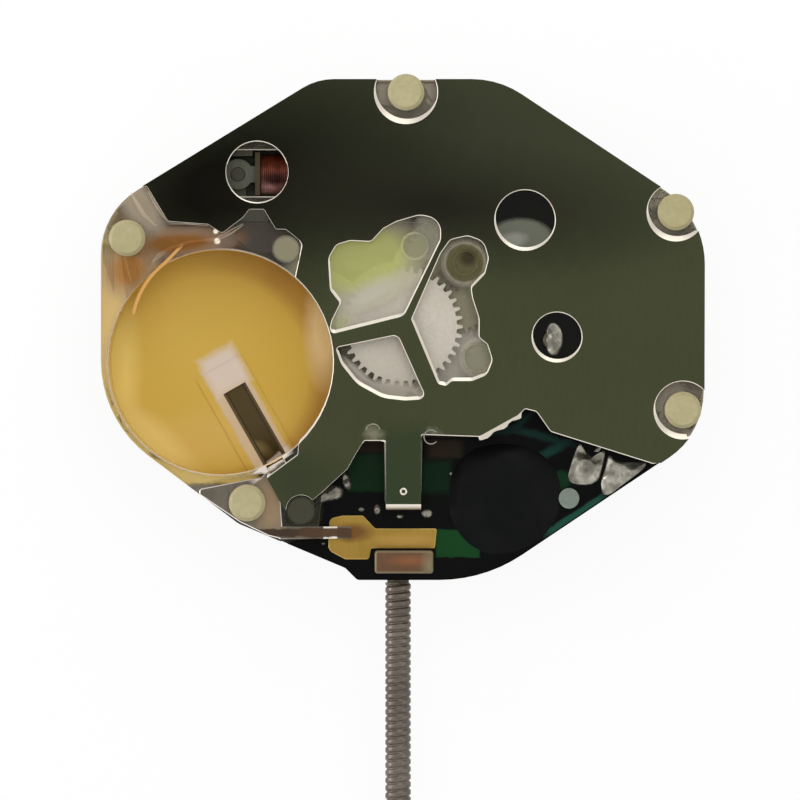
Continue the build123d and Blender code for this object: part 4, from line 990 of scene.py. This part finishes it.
def add_rib(mesh: Solid, points_px: Iterable[Point], low: float, width: float, rise: float) -> None:
    """Adds a rib with a rounded top along a line.

    Args:
        mesh: Geometry that it is added to.
        points_px: The line, in pixels of the photograph.
        low: Height of its foot.
        width: Its width at the foot.
        rise: Its height.
    """
    points = [Vector(at(*p)) for p in points_px]
    profile = [(-0.5, 0.0), (-0.45, 0.55), (-0.2, 0.95), (0.2, 0.95), (0.45, 0.55), (0.5, 0.0)]
    rows = []
    for i, point in enumerate(points):
        along = (points[min(i + 1, len(points) - 1)] - points[max(i - 1, 0)]).normalized()
        across = Vector((along.y, -along.x))
        taper = 0.4 if i in (0, len(points) - 1) else 1.0
        rows.append(
            [
                mesh.verts.new((*(point + across * side * width * taper), low + height * rise * taper))
                for side, height in profile
            ]
        )
    faces = []
    for a, b in zip(rows, rows[1:]):
        for i in range(len(profile)):
            j = (i + 1) % len(profile)
            faces.append(mesh.faces.new((a[i], a[j], b[j], b[i])))
    faces += [mesh.faces.new(rows[0]), mesh.faces.new(rows[-1][::-1])]
    bmesh.ops.recalc_face_normals(mesh, faces=faces)


def new_tree(name: str, inputs: dict[str, str]) -> tuple[Tree, dict[str, Socket]]:
    """Starts a geometry tree.

    Args:
        name: Name of the tree.
        inputs: Socket type of each named input.

    Returns:
        The tree and the outputs of its input node by name.
    """
    tree = bpy.data.node_groups.new(name, "GeometryNodeTree")
    for title, kind in inputs.items():
        tree.interface.new_socket(title, in_out="INPUT", socket_type=kind)
    tree.interface.new_socket("Geometry", in_out="OUTPUT", socket_type="NodeSocketGeometry")
    entry = add_node(tree, "NodeGroupInput")
    return tree, {title: entry.outputs[title] for title in inputs}


def close_tree(tree: Tree, shape: Socket, finish: Finish) -> None:
    """Ends a geometry tree in real geometry with its material.

    Args:
        tree: The tree.
        shape: Socket of what the tree makes.
        finish: Finish that the geometry gets.
    """
    real = add_node(tree, "GeometryNodeRealizeInstances", {"Geometry": shape}).outputs[0]
    coat = {"Geometry": real, "Material": finish.material()}
    dressed = add_node(tree, "GeometryNodeSetMaterial", coat).outputs[0]
    add_node(tree, "NodeGroupOutput", {"Geometry": dressed})


def grown(tree: Tree, sizes: dict[str, float]) -> Solid:
    """Runs a geometry tree once and returns what it makes.

    Args:
        tree: The tree.
        sizes: Value of each named input.

    Returns:
        The geometry.
    """
    holder = bpy.data.objects.new(tree.name, bpy.data.meshes.new(tree.name))
    bpy.context.scene.collection.objects.link(holder)
    modifier = holder.modifiers.new(tree.name, "NODES")
    modifier.node_group = tree
    for item in tree.interface.items_tree:
        if item.name in sizes:
            modifier[item.identifier] = sizes[item.name]
    graph = bpy.context.evaluated_depsgraph_get()
    data = bpy.data.meshes.new_from_object(holder.evaluated_get(graph), depsgraph=graph)
    holder.modifiers.remove(modifier)
    bpy.data.objects.remove(holder)
    mesh = bmesh.new()
    mesh.from_mesh(data)
    bpy.data.meshes.remove(data)
    return mesh


# ---- sub-assemblies


@dataclass
class SubAssembly:
    """Pieces of the movement that belong together."""

    title: str = "pieces"
    finishes: dict[str, Finish] = field(default_factory=dict)

    def build(self) -> None:
        """Dresses the CAD nodes and makes the pieces that stand for some of them."""
        for node, finish in self.finishes.items():
            dress(frame["nodes"][node], finish)
        self.make()
        log.info("%s: %s", self.title, ", ".join(self.finishes))

    def make(self) -> None:
        """Makes the pieces of its own; a plain sub-assembly has none."""


@dataclass
class CoverPlate(SubAssembly):
    """The dark cover with its windows, holes, notches and bent tab."""

    title: str = "cover"
    finishes: dict[str, Finish] = field(default_factory=lambda: {"cover_plate": PLATED_STEEL})
    sheet: float = 0.20 * MM
    bend: float = 0.25 * MM
    bend_px: Point = (403.5, 510)
    plain_edge_px: tuple[Point, Point] = ((419, 511), (423, 440))
    rough_px: tuple[Point, Point] = ((476, 442), (521, 404))
    notch_reach: float = 1.3 * MM
    slope: float = 0.5
    lean_least: float = 0.024 * MM
    lean_more: float = 0.085 * MM
    lean_notch: float = 0.06 * MM
    lean_rough: float = 0.10 * MM
    rough_grain: float = 0.25 * MM
    quiet_px: tuple[tuple[Point, Point], ...] = (((100, 262), (300, 165)), ((272, 530), (368, 442)))
    quiet_share: float = 0.35
    tab_side_px: tuple[Point, Point] = ((383, 506), (388, 434))
    lean_tab: float = 0.055 * MM
    lit_side: Vector = field(default_factory=lambda: Vector((0.25, 0.97)))
    edge_step: float = 0.12 * MM
    outline_reach: float = 0.03 * MM
    dimple_px: tuple[float, float, float] = (403.5, 491.5, 2.8)
    dimple_body: float = 0.035 * MM
    rings_px: tuple[tuple[float, float, float, float, float], ...] = (
        (431, 437, 7.0, 40, 320),
        (373, 431, 7.0, 10, 170),
    )
    ring_body: float = 0.02 * MM

    def make(self) -> None:
        """Builds the plate from its CAD solid: the sheared walls lean into the openings."""
        mesh = solid_of("cover_plate")
        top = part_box("cover_plate")[1].z
        hull = outer_hull("cover_plate")
        bend_y = at(*self.bend_px)[1]
        near = 3 * SAME_PLACE
        bends = [
            e
            for e in mesh.edges
            if is_corner(e) and is_level_at(e, top) and all(abs(v.co.y - bend_y) < near for v in e.verts)
        ]
        bmesh.ops.bevel(mesh, geom=bends, offset=self.bend, segments=5, profile=0.5, affect="EDGES")
        self.cut_walls(mesh, top)
        slopes = cut_uprights(mesh, top, self.sheet)
        feet = [v for v in mesh.verts if abs(v.co.z - top + self.sheet) < SAME_PLACE]
        moves = [(v, self.lean(v.co, wall_direction(v), hull)) for v in slopes + feet]
        for vertex, move in moves:
            if vertex.co.z > top - self.sheet + SAME_PLACE:
                vertex.co.z = top - max(self.slope * move.length, 2 * SAME_PLACE)
            vertex.co += move
        px, py, radius_px = self.dimple_px
        add_ring(mesh, at(px, py), top, radius_px * METRES_PER_PX, self.dimple_body)
        mount(mesh, "sheared_cover", PLATED_STEEL, "cover_plate", "cover_plate", smooth_degrees=12)
        marks = bmesh.new()
        for px, py, radius_px, start, end in self.rings_px:
            add_ring(marks, at(px, py), top, radius_px * METRES_PER_PX, self.ring_body, (start, end))
        mount(marks, "pressed_marks", PRESSED_STEEL, "cover_plate")

    def cut_walls(self, mesh: Solid, top: float) -> None:
        """Cuts the cover's long walls into short steps.

        Args:
            mesh: The cover.
            top: Height of its top.
        """
        for face in [f for f in mesh.faces if len(f.verts) == 4 and abs(f.normal.z) < WALL_SHARE]:
            rims = [e for e in face.edges if is_level_at(e, top) or is_level_at(e, top - self.sheet)]
            pieces = int(max((e.calc_length() for e in rims), default=0) / self.edge_step)
            if len(rims) == 2 and pieces:
                bmesh.ops.subdivide_edges(mesh, edges=rims, cuts=pieces, use_grid_fill=True)

    def lean(self, place: Vector, out: Vector, hull: list[Vector]) -> Vector:
        """How far the foot of a sheared wall reaches into its opening.

        Args:
            place: The wall's foot.
            out: Direction that the wall faces.
            hull: The cover's outline, whose walls stand upright.

        Returns:
            The move of the foot.
        """
        if hull_distance(place, hull) < self.outline_reach or not out.length:
            return Vector()
        if inside(place, self.plain_edge_px):
            return Vector()
        reach = self.lean_least + self.lean_more * max(0.0, out.dot(self.lit_side))
        if any((place.to_2d() - Vector(at(*notch))).length < self.notch_reach for notch in NOTCHED_POSTS_PX):
            reach += self.lean_notch * max(0.0, out.dot(self.lit_side))
        if inside(place, self.rough_px) and out.y < 0 < out.x:
            reach += self.lean_rough * (1 + 0.7 * noise.noise(place / self.rough_grain))
        if any(inside(place, corners) for corners in self.quiet_px):
            reach *= self.quiet_share
        if inside(place, self.tab_side_px):
            reach = self.lean_tab
        return (out * reach).to_3d()


def outer_hull(node: str) -> list[Vector]:
    """Convex outline of a CAD node seen from above.

    Args:
        node: The CAD node.

    Returns:
        Its corners, anticlockwise.
    """
    places = sorted({(round(v.co.x, 7), round(v.co.y, 7)) for v in frame["nodes"][node].data.vertices})
    halves = []
    for row in (places, places[::-1]):
        chain: list[Vector] = []
        for place in map(Vector, row):
            while len(chain) > 1 and (chain[-1] - chain[-2]).cross(place - chain[-1]) <= 0:
                chain.pop()
            chain.append(place)
        halves += chain[:-1]
    return halves


def inside(place: Vector, corners_px: tuple[Point, Point]) -> bool:
    """True if a place is in a box given by its lower left and upper right corners in pixels."""
    (left, low), (right, high) = (at(*corner) for corner in corners_px)
    return left < place.x < right and low < place.y < high


def hull_distance(place: Vector, hull: list[Vector]) -> float:
    """How far inside a convex outline a place is.

    Args:
        place: The place.
        hull: Corners of the outline, anticlockwise.

    Returns:
        Distance to the nearest side, less than zero outside.
    """
    best = math.inf
    for start, end in zip(hull, hull[1:] + hull[:1]):
        along = (end - start).normalized()
        best = min(best, along.cross(place.to_2d() - start))
    return best


@dataclass
class TrainBridge(SubAssembly):
    """The clear bridge: sloping rims, bearing bosses and the ribs of its corner."""

    title: str = "train bridge"
    finishes: dict[str, Finish] = field(default_factory=lambda: {"train_bridge": CLEAR_PLASTIC})
    rim: float = 0.045 * MM
    slope: float = 0.5
    bosses_px: tuple[tuple[float, float, float], ...] = (
        (415, 246, 13),
        (465, 263, 20),
        (465, 263, 12),
        (478, 358, 14),
    )
    boss_body: float = 0.05 * MM
    rib_width: float = 0.15 * MM
    rib_rise: float = 0.12 * MM
    ribs_px: tuple[tuple[Point, ...], ...] = (
        ((131, 193), (137, 203), (144, 215), (156, 226)),
        ((148, 191), (158, 207), (168, 222)),
        ((152, 262), (160, 254), (170, 248), (190, 241.5), (216, 239.5), (230, 232), (243, 224)),
        ((168, 223), (188, 222), (208, 225)),
    )

    def make(self) -> None:
        """Builds the bridge from its CAD solid."""
        mesh = solid_of("train_bridge")
        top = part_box("cover_plate")[1].z
        level = max(v.co.z for v in mesh.verts if v.co.z < top - SAME_PLACE)
        hull = outer_hull("train_bridge")
        slopes = cut_uprights(mesh, level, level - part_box("train_bridge")[0].z)
        inner = [v for v in slopes if hull_distance(v.co, hull) > self.rim]
        slope_rims(inner, level, self.rim, self.slope)
        for px, py, radius_px in self.bosses_px:
            add_ring(mesh, at(px, py), level, radius_px * METRES_PER_PX, self.boss_body)
        for line in self.ribs_px:
            add_rib(mesh, line, level - self.rim, self.rib_width, self.rib_rise)
        mount(mesh, "moulded_bridge", CLEAR_PLASTIC, "train_bridge", "train_bridge", smooth_degrees=20)


@dataclass
class CircuitBoard(SubAssembly):
    """Board, resin, solder and the pads on it."""

    title: str = "circuit"
    finishes: dict[str, Finish] = field(
        default_factory=lambda: {
            "circuit_board": SOLDER_MASK,
            "circuit_spacer": BLACK_PLASTIC,
            "ic_resin": POURED_RESIN,
            "solder_pads": TIN_SOLDER,
            "test_pad": DULL_TIN,
            "contact_pad": GOLD_FLASH,
            "reset_contact": BRONZE,
            "crystal_leads": TIN_SOLDER,
            "crystal_can": TINNED_CAN,
        }
    )
    resin_px: tuple[Point, ...] = (
        (452, 470),
        (470, 449),
        (505, 442),
        (540, 450),
        (560, 474),
        (563, 505),
        (548, 535),
        (520, 553),
        (487, 556),
        (462, 540),
        (447, 510),
    )
    resin_rise: float = 0.42 * MM
    pads_px: tuple[tuple[Point, ...], ...] = (
        (
            *((580, 442), (584, 447), (593, 458), (600, 452), (607, 449)),
            *((604, 466), (598, 486), (567, 485), (571, 464)),
        ),
        (
            *((609, 453), (616, 460), (632, 463), (648, 461), (647, 468)),
            *((628, 482), (604, 500), (601, 482), (606, 470)),
        ),
    )
    pad_rise: float = 0.15 * MM
    splash_px: tuple[tuple[Point, ...], ...] = (
        ((309, 503), (320, 490), (334, 483), (345, 489), (342, 500), (325, 502), (314, 508)),
        ((341, 476), (345, 471), (353, 484), (349, 492), (342, 486)),
    )
    beads_px: tuple[tuple[float, float, float, float], ...] = (
        (377, 510, 4, 6),
        (427, 514, 6, 5),
        (400, 517, 4, 2.5),
        (361, 510, 4, 2.5),
        (323, 544, 2.5, 2),
        (451, 474, 2, 2),
        (519, 524, 1.6, 1.6),
    )
    lead_end_py: float = 452
    bead_rise: float = 0.12 * MM
    pad_edge: float = 0.02 * MM
    block_edge: float = 0.09 * MM

    def make(self) -> None:
        """Makes the drops and softens the pads."""
        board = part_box("circuit_board")[1].z
        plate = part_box("train_bridge")[0].z
        resin = Drop(self.resin_px, board, self.resin_rise, 3.0, 1.0, 0.35, 0.9 * MM, 12, 3)
        mount(drops([resin]), "resin_drop", POURED_RESIN, "ic_resin", "ic_resin")
        pads = [
            Drop(corners, board, self.pad_rise, 5, 0.5, 0.9, 0.28 * MM, 12, seed, 2)
            for seed, corners in enumerate(self.pads_px)
        ]
        mount(drops(pads), "solder_joints", TIN_SOLDER, "solder_pads", "solder_pads")
        splash = [
            Drop(corners, board, plate - board, 3, 0.5, 0.5, 0.25 * MM, 8, seed + 5)
            for seed, corners in enumerate(self.splash_px)
        ]
        beads = [self.bead(board, seed, *bead) for seed, bead in enumerate(self.beads_px)]
        mount(drops(splash + beads), "solder_splashes", TIN_SOLDER, "solder_pads")
        leads = solid_of("crystal_leads")
        cut_off(leads, Vector((0, at(0, self.lead_end_py)[1], 0)), Vector((0, -1, 0)))
        mount(leads, "soldered_leads", TIN_SOLDER, "crystal_leads", "crystal_leads")
        dressed_copy("contact_pad", "gold_contact", GOLD_FLASH, self.pad_edge, [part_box("contact_pad")[1].z])
        mesh = solid_of("reset_contact")
        soften(mesh, self.block_edge, lambda e: is_corner(e) and not is_level_at(e, board), 4)
        mount(mesh, "rounded_reset_block", BRONZE, "reset_contact", "reset_contact")

    def bead(self, board: float, seed: int, px: float, py: float, half_x: float, half_y: float) -> Drop:
        """Small bead of solder on the board.

        Args:
            board: Height of the board's top.
            seed: Number that makes its lumps its own.
            px: Pixels of its centre from the left.
            py: Pixels of its centre from the top.
            half_x: Half its width in pixels.
            half_y: Half its height in pixels.

        Returns:
            The bead.
        """
        corners = tuple(
            (px + half_x * math.cos(turn), py - half_y * math.sin(turn))
            for turn in (math.tau * step / 7 for step in range(7))
        )
        return Drop(corners, board, self.bead_rise, 2, 0.5, 0.5, 0.1 * MM, 6, seed + 11)


@dataclass
class BatteryWell(SubAssembly):
    """Film, positive spring and negative terminal."""

    title: str = "battery well"
    finishes: dict[str, Finish] = field(
        default_factory=lambda: {
            "battery_insulator": AMBER_FILM,
            "positive_spring": GOLD_FLASH,
            "negative_terminal": TERMINAL_STEEL,
        }
    )
    terminal_sheet: float = 0.10 * MM
    terminal_edge: float = 0.030 * MM
    slope: float = 0.5

    def make(self) -> None:
        """Slopes the terminal's rims so that they catch the light."""
        mesh = solid_of("negative_terminal")
        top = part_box("negative_terminal")[1].z
        slope_rims(cut_uprights(mesh, top, self.terminal_sheet), top, self.terminal_edge, self.slope)
        node = "negative_terminal"
        mount(mesh, "pressed_terminal", TERMINAL_STEEL, node, node, smooth_degrees=12)


@dataclass
class MainPlate(SubAssembly):
    """Plate with its posts, and the pins and screws in it."""

    title: str = "main plate"
    finishes: dict[str, Finish] = field(
        default_factory=lambda: {
            "main_plate": CREAM_ACETAL,
            "motion_guard": SPRING_STEEL,
            "guard_screws": POLISHED_STEEL,
            "centre_bridge": SPRING_STEEL,
            "centre_tube": TURNED_BRASS,
            "locating_pin": BLUNT_STEEL,
        }
    )
    pin_head_px: tuple[Point, ...] = (
        (552, 321),
        (561, 326),
        (564, 342),
        (558, 356),
        (548, 355),
        (545, 340),
        (546, 328),
    )
    pin_head_rise: float = 0.16 * MM

    def make(self) -> None:
        """Makes the hammered head of the locating pin."""
        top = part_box("train_bridge")[0].z
        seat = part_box("locating_pin")[1].z - self.pin_head_rise / 2
        head = Drop(self.pin_head_px, max(seat, top), self.pin_head_rise, 3, 0.5, 0.6, 0.22 * MM, 10, 21)
        mount(drops([head]), "hammered_pin_head", TIN_SOLDER, "locating_pin")


@dataclass
class Motor(SubAssembly):
    """Coil on its core, stator and rotor."""

    title: str = "motor"
    finishes: dict[str, Finish] = field(
        default_factory=lambda: {
            "coil_core": SOFT_IRON,
            "coil_winding": ENAMELLED_WIRE,
            "coil_flanges": BLACK_PLASTIC,
            "stator": SOFT_IRON,
            "rotor_magnet": SINTERED_MAGNET,
            "rotor_pinion": OLIVE_ACETAL,
        }
    )
    wire_radius: float = 0.032 * MM
    wire_pitch: float = 0.058 * MM
    wire_sides: int = 6
    turn_steps: int = 28

    def make(self) -> None:
        """Winds the wire, drawn thicker than its real 0.02 mm so that its turns show."""
        low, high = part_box("coil_winding")
        outer = (high.y - low.y) / 2
        run = high.x - low.x - 2 * self.wire_radius
        tree, sizes = new_tree(
            "winding",
            {
                "Turns": "NodeSocketFloat",
                "Radius": "NodeSocketFloat",
                "Run": "NodeSocketFloat",
                "Wire Radius": "NodeSocketFloat",
            },
        )
        spiral = add_node(
            tree,
            "GeometryNodeCurveSpiral",
            {
                "Resolution": self.turn_steps,
                "Rotations": sizes["Turns"],
                "Start Radius": sizes["Radius"],
                "End Radius": sizes["Radius"],
                "Height": sizes["Run"],
            },
        )
        section = {"Resolution": self.wire_sides, "Radius": sizes["Wire Radius"]}
        wire = add_node(tree, "GeometryNodeCurvePrimitiveCircle", section)
        tube = add_node(
            tree,
            "GeometryNodeCurveToMesh",
            {"Curve": spiral.outputs[0], "Profile Curve": wire.outputs[0], "Fill Caps": True},
        )
        close_tree(tree, tube.outputs[0], ENAMELLED_WIRE)
        mesh = grown(
            tree,
            {
                "Turns": run / self.wire_pitch,
                "Radius": outer - self.wire_radius,
                "Run": run,
                "Wire Radius": self.wire_radius,
            },
        )
        start = Vector((low.x + self.wire_radius, (low.y + high.y) / 2, (low.z + high.z) / 2))
        place = Matrix.Translation(start) @ Matrix.Rotation(math.pi / 2, 4, "Y")
        bmesh.ops.transform(mesh, matrix=place, verts=mesh.verts)
        mount(mesh, "wound_coil", ENAMELLED_WIRE, "coil_winding", "coil_winding")


@dataclass
class Train(SubAssembly):
    """Wheels of the going train."""

    title: str = "train"
    finishes: dict[str, Finish] = field(
        default_factory=lambda: {
            "seconds_wheel": WHITE_ACETAL,
            "seconds_arbor": POLISHED_STEEL,
            "fifth_wheel": OLIVE_ACETAL,
            "fifth_pinion": BLUNT_STEEL,
            "third_wheel": WHITE_ACETAL,
            "third_pinion": POLISHED_STEEL,
            "centre_wheel": NICKEL_BRASS,
            "cannon_pinion": TURNED_BRASS,
            "minute_wheel": WHITE_ACETAL,
            "hour_wheel": TURNED_BRASS,
        }
    )


@dataclass
class SettingWorks(SubAssembly):
    """Stem with its thread, and the setting parts."""

    title: str = "setting works"
    finishes: dict[str, Finish] = field(
        default_factory=lambda: {
            "stem": STEM_STEEL,
            "sliding_pinion": POLISHED_STEEL,
            "setting_lever": SPRING_STEEL,
            "lever_pin": POLISHED_STEEL,
            "lever_jumper": SPRING_STEEL,
            "yoke": SPRING_STEEL,
            "setting_wheel": POLISHED_STEEL,
        }
    )
    thread_start: float = -7.80 * MM
    pitch: float = 0.232 * MM
    crest: float = 0.39 * MM
    root: float = 0.345 * MM
    lap: float = 0.05 * MM
    sides: int = 48
    rows_per_turn: int = 16

    def make(self) -> None:
        """Grows the thread and joins it to the plain part of the stem."""
        low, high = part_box("stem")
        axis_x, axis_z = (low.x + high.x) / 2, (low.z + high.z) / 2
        run = self.thread_start - low.y
        tree, sizes = new_tree(
            "thread",
            {
                "Pitch": "NodeSocketFloat",
                "Root Radius": "NodeSocketFloat",
                "Crest Radius": "NodeSocketFloat",
                "Run": "NodeSocketFloat",
            },
        )
        ends = {0: sizes["Run"], 1: sizes["Pitch"]}
        count = add_node(tree, "ShaderNodeMath", ends, operation="DIVIDE").outputs[0]
        ends = {0: count, 1: float(self.rows_per_turn)}
        rows = add_node(tree, "ShaderNodeMath", ends, operation="MULTIPLY").outputs[0]
        form = {"Radius": sizes["Crest Radius"], "Depth": sizes["Run"]}
        grid = {"Vertices": self.sides, "Side Segments": rows}
        rod = add_node(tree, "GeometryNodeMeshCylinder", {**grid, **form}).outputs[0]
        place = add_node(tree, "GeometryNodeInputPosition").outputs[0]
        parts = add_node(tree, "ShaderNodeSeparateXYZ", {0: place}).outputs
        turn = add_node(tree, "ShaderNodeMath", {0: parts[1], 1: parts[0]}, operation="ARCTAN2").outputs[0]
        turns = add_node(tree, "ShaderNodeMath", {0: turn, 1: math.tau}, operation="DIVIDE").outputs[0]
        ends = {0: parts[2], 1: sizes["Pitch"]}
        climb = add_node(tree, "ShaderNodeMath", ends, operation="DIVIDE").outputs[0]
        phase = add_node(tree, "ShaderNodeMath", {0: climb, 1: turns}, operation="SUBTRACT").outputs[0]
        wave = add_node(tree, "ShaderNodeMath", {0: phase, 1: 0.5}, operation="PINGPONG").outputs[0]
        reach = add_node(
            tree,
            "ShaderNodeMapRange",
            {"Value": wave, "From Max": 0.3, "To Min": sizes["Root Radius"], "To Max": sizes["Crest Radius"]},
            interpolation_type="SMOOTHSTEP",
        ).outputs[0]
        ends = {0: reach, 1: sizes["Crest Radius"]}
        share = add_node(tree, "ShaderNodeMath", ends, operation="DIVIDE").outputs[0]
        scale = add_node(tree, "ShaderNodeCombineXYZ", {0: share, 1: share, 2: 1.0}).outputs[0]
        moved = add_node(tree, "ShaderNodeVectorMath", {0: place, 1: scale}, operation="MULTIPLY").outputs[0]
        shape = add_node(tree, "GeometryNodeSetPosition", {"Geometry": rod, "Position": moved}).outputs[0]
        close_tree(tree, shape, STEM_STEEL)
        radii = {"Root Radius": self.root, "Crest Radius": self.crest}
        mesh = grown(tree, {"Pitch": self.pitch, "Run": run, **radii})
        middle = Vector((axis_x, low.y + run / 2, axis_z))
        turned = Matrix.Translation(middle) @ Matrix.Rotation(math.pi / 2, 4, "X")
        bmesh.ops.transform(mesh, matrix=turned, verts=mesh.verts)
        plain = solid_of("stem")
        cut_off(plain, Vector((axis_x, self.thread_start - self.lap, axis_z)), Vector((0, -1, 0)))
        data = bpy.data.meshes.new("plain_stem")
        plain.to_mesh(data)
        plain.free()
        mesh.from_mesh(data)
        bpy.data.meshes.remove(data)
        mount(mesh, "threaded_stem", STEM_STEEL, "stem", "stem")


# ---- stage


def seen_directly(tree: Tree) -> Socket:
    """Tells rays that show a thing from rays that light it.

    Args:
        tree: Tree that the nodes go into.

    Returns:
        Socket that is one for rays from the camera, a reflection or a clear piece.
    """
    rays = add_node(tree, "ShaderNodeLightPath").outputs
    ends = {0: rays["Is Camera Ray"], 1: rays["Is Glossy Ray"]}
    first = add_node(tree, "ShaderNodeMath", ends, operation="MAXIMUM").outputs[0]
    both = {0: first, 1: rays["Is Transmission Ray"]}
    return add_node(tree, "ShaderNodeMath", both, operation="MAXIMUM").outputs[0]


@dataclass
class Stage:
    """Camera, lamps, world and floor."""

    lens: float = 300.0
    sensor: float = 36.0
    floor_drop: float = 0.02 * MM
    floor_side: float = 400 * MM
    floor_glow: float = 0.90
    sky_strength: float = 0.48
    sky_colour: str = "FBFAFF"
    paper_colour: str = "F6F6F6"
    lamp_distance: float = 120 * MM
    # Degrees from +Y towards +X, degrees up, side in mm, power in watts, and whether metal mirrors it
    lamps: tuple[tuple[float, float, float, float, bool], ...] = (
        (15, 80, 90, 0.062, False),
        (15, 32, 90, 0.030, True),
        (-80, 35, 60, 0.012, True),
        (-88, 12, 50, 0.050, True),
        (100, 35, 60, 0.008, True),
        (190, 40, 60, 0.008, True),
    )

    def build(self) -> None:
        """Sets the whole stage."""
        self.set_camera()
        self.set_world()
        self.set_floor()
        for number, lamp in enumerate(self.lamps):
            self.set_lamp(number, *lamp)
        bpy.context.scene.view_settings.view_transform = "Standard"
        log.info("stage: camera, world, floor and %d lamps", len(self.lamps))

    def set_camera(self) -> None:
        """Camera straight above the movement, at the photograph's scale on the cover's top."""
        data = bpy.data.cameras.new("camera")
        data.lens = self.lens
        data.sensor_width = self.sensor
        distance = PHOTO_SIDE_PX * METRES_PER_PX * self.lens / self.sensor
        data.clip_start = distance / 20
        data.clip_end = distance * 20
        camera = bpy.data.objects.new("camera", data)
        x, y = at(PHOTO_SIDE_PX / 2, PHOTO_SIDE_PX / 2)
        camera.location = (x, y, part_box("cover_plate")[1].z + distance)
        bpy.context.scene.collection.objects.link(camera)
        bpy.context.scene.camera = camera

    def set_world(self) -> None:
        """Even light from all round, and white where it is seen directly or in a reflection."""
        world = bpy.data.worlds.new("studio")
        bpy.context.scene.world = world
        world.use_nodes = True
        tree = world.node_tree
        tree.nodes.clear()
        sky = {"Color": linear(self.sky_colour), "Strength": self.sky_strength}
        soft = add_node(tree, "ShaderNodeBackground", sky)
        white = add_node(tree, "ShaderNodeBackground", {"Color": linear(WORLD_WHITE), "Strength": 1.0})
        both = {0: seen_directly(tree), 1: soft.outputs[0], 2: white.outputs[0]}
        mixed = add_node(tree, "ShaderNodeMixShader", both)
        add_node(tree, "ShaderNodeOutputWorld", {"Surface": mixed.outputs[0]})

    def set_floor(self) -> None:
        """White paper under the lowest point, which keeps a faint shadow."""
        level = cad_bounds[0].z - self.floor_drop
        mesh = bmesh.new()
        corners = [mesh.verts.new((x, y, level)) for x, y in ((-1, -1), (1, -1), (1, 1), (-1, 1))]
        mesh.faces.new(corners)
        half = self.floor_side / 2
        bmesh.ops.scale(mesh, vec=(half, half, 1), verts=mesh.verts)
        floor = keep(mesh, "floor")
        material = bpy.data.materials.new("white_paper")
        material.use_nodes = True
        tree = material.node_tree
        tree.nodes.clear()
        paper = add_node(tree, "ShaderNodeBsdfDiffuse", {"Color": linear(self.paper_colour)})
        glow = add_node(tree, "ShaderNodeEmission", {"Color": linear(WORLD_WHITE), "Strength": 1.0})
        ends = {0: seen_directly(tree), 1: self.floor_glow}
        shown = add_node(tree, "ShaderNodeMath", ends, operation="MULTIPLY")
        both = {0: shown.outputs[0], 1: paper.outputs[0], 2: glow.outputs[0]}
        mixed = add_node(tree, "ShaderNodeMixShader", both)
        add_node(tree, "ShaderNodeOutputMaterial", {"Surface": mixed.outputs[0]})
        floor.data.materials.append(material)

    def set_lamp(
        self, number: int, azimuth: float, elevation: float, size: float, power: float, mirrored: bool
    ) -> None:
        """One square lamp that faces the movement.

        Args:
            number: Number of the lamp.
            azimuth: Degrees from +Y towards +X.
            elevation: Degrees above the floor.
            size: Side in millimetres.
            power: Power in watts.
            mirrored: True if it shows in reflections.
        """
        data = bpy.data.lights.new(f"lamp_{number}", "AREA")
        data.size = size * MM
        data.energy = power
        lamp = bpy.data.objects.new(f"lamp_{number}", data)
        turn, rise = math.radians(azimuth), math.radians(elevation)
        away = Vector((math.sin(turn) * math.cos(rise), math.cos(turn) * math.cos(rise), math.sin(rise)))
        lamp.location = away * self.lamp_distance
        lamp.rotation_euler = away.to_track_quat("Z", "Y").to_euler()
        lamp.visible_glossy = mirrored
        bpy.context.scene.collection.objects.link(lamp)


def main() -> None:
    """Builds the stage and every sub-assembly, and reports each."""
    logging.basicConfig(level=logging.INFO, format="%(message)s")
    Stage().build()
    for part in (MainPlate, BatteryWell, Motor, Train, SettingWorks, CircuitBoard, TrainBridge, CoverPlate):
        part().build()


if __name__ == "__main__":
    main()
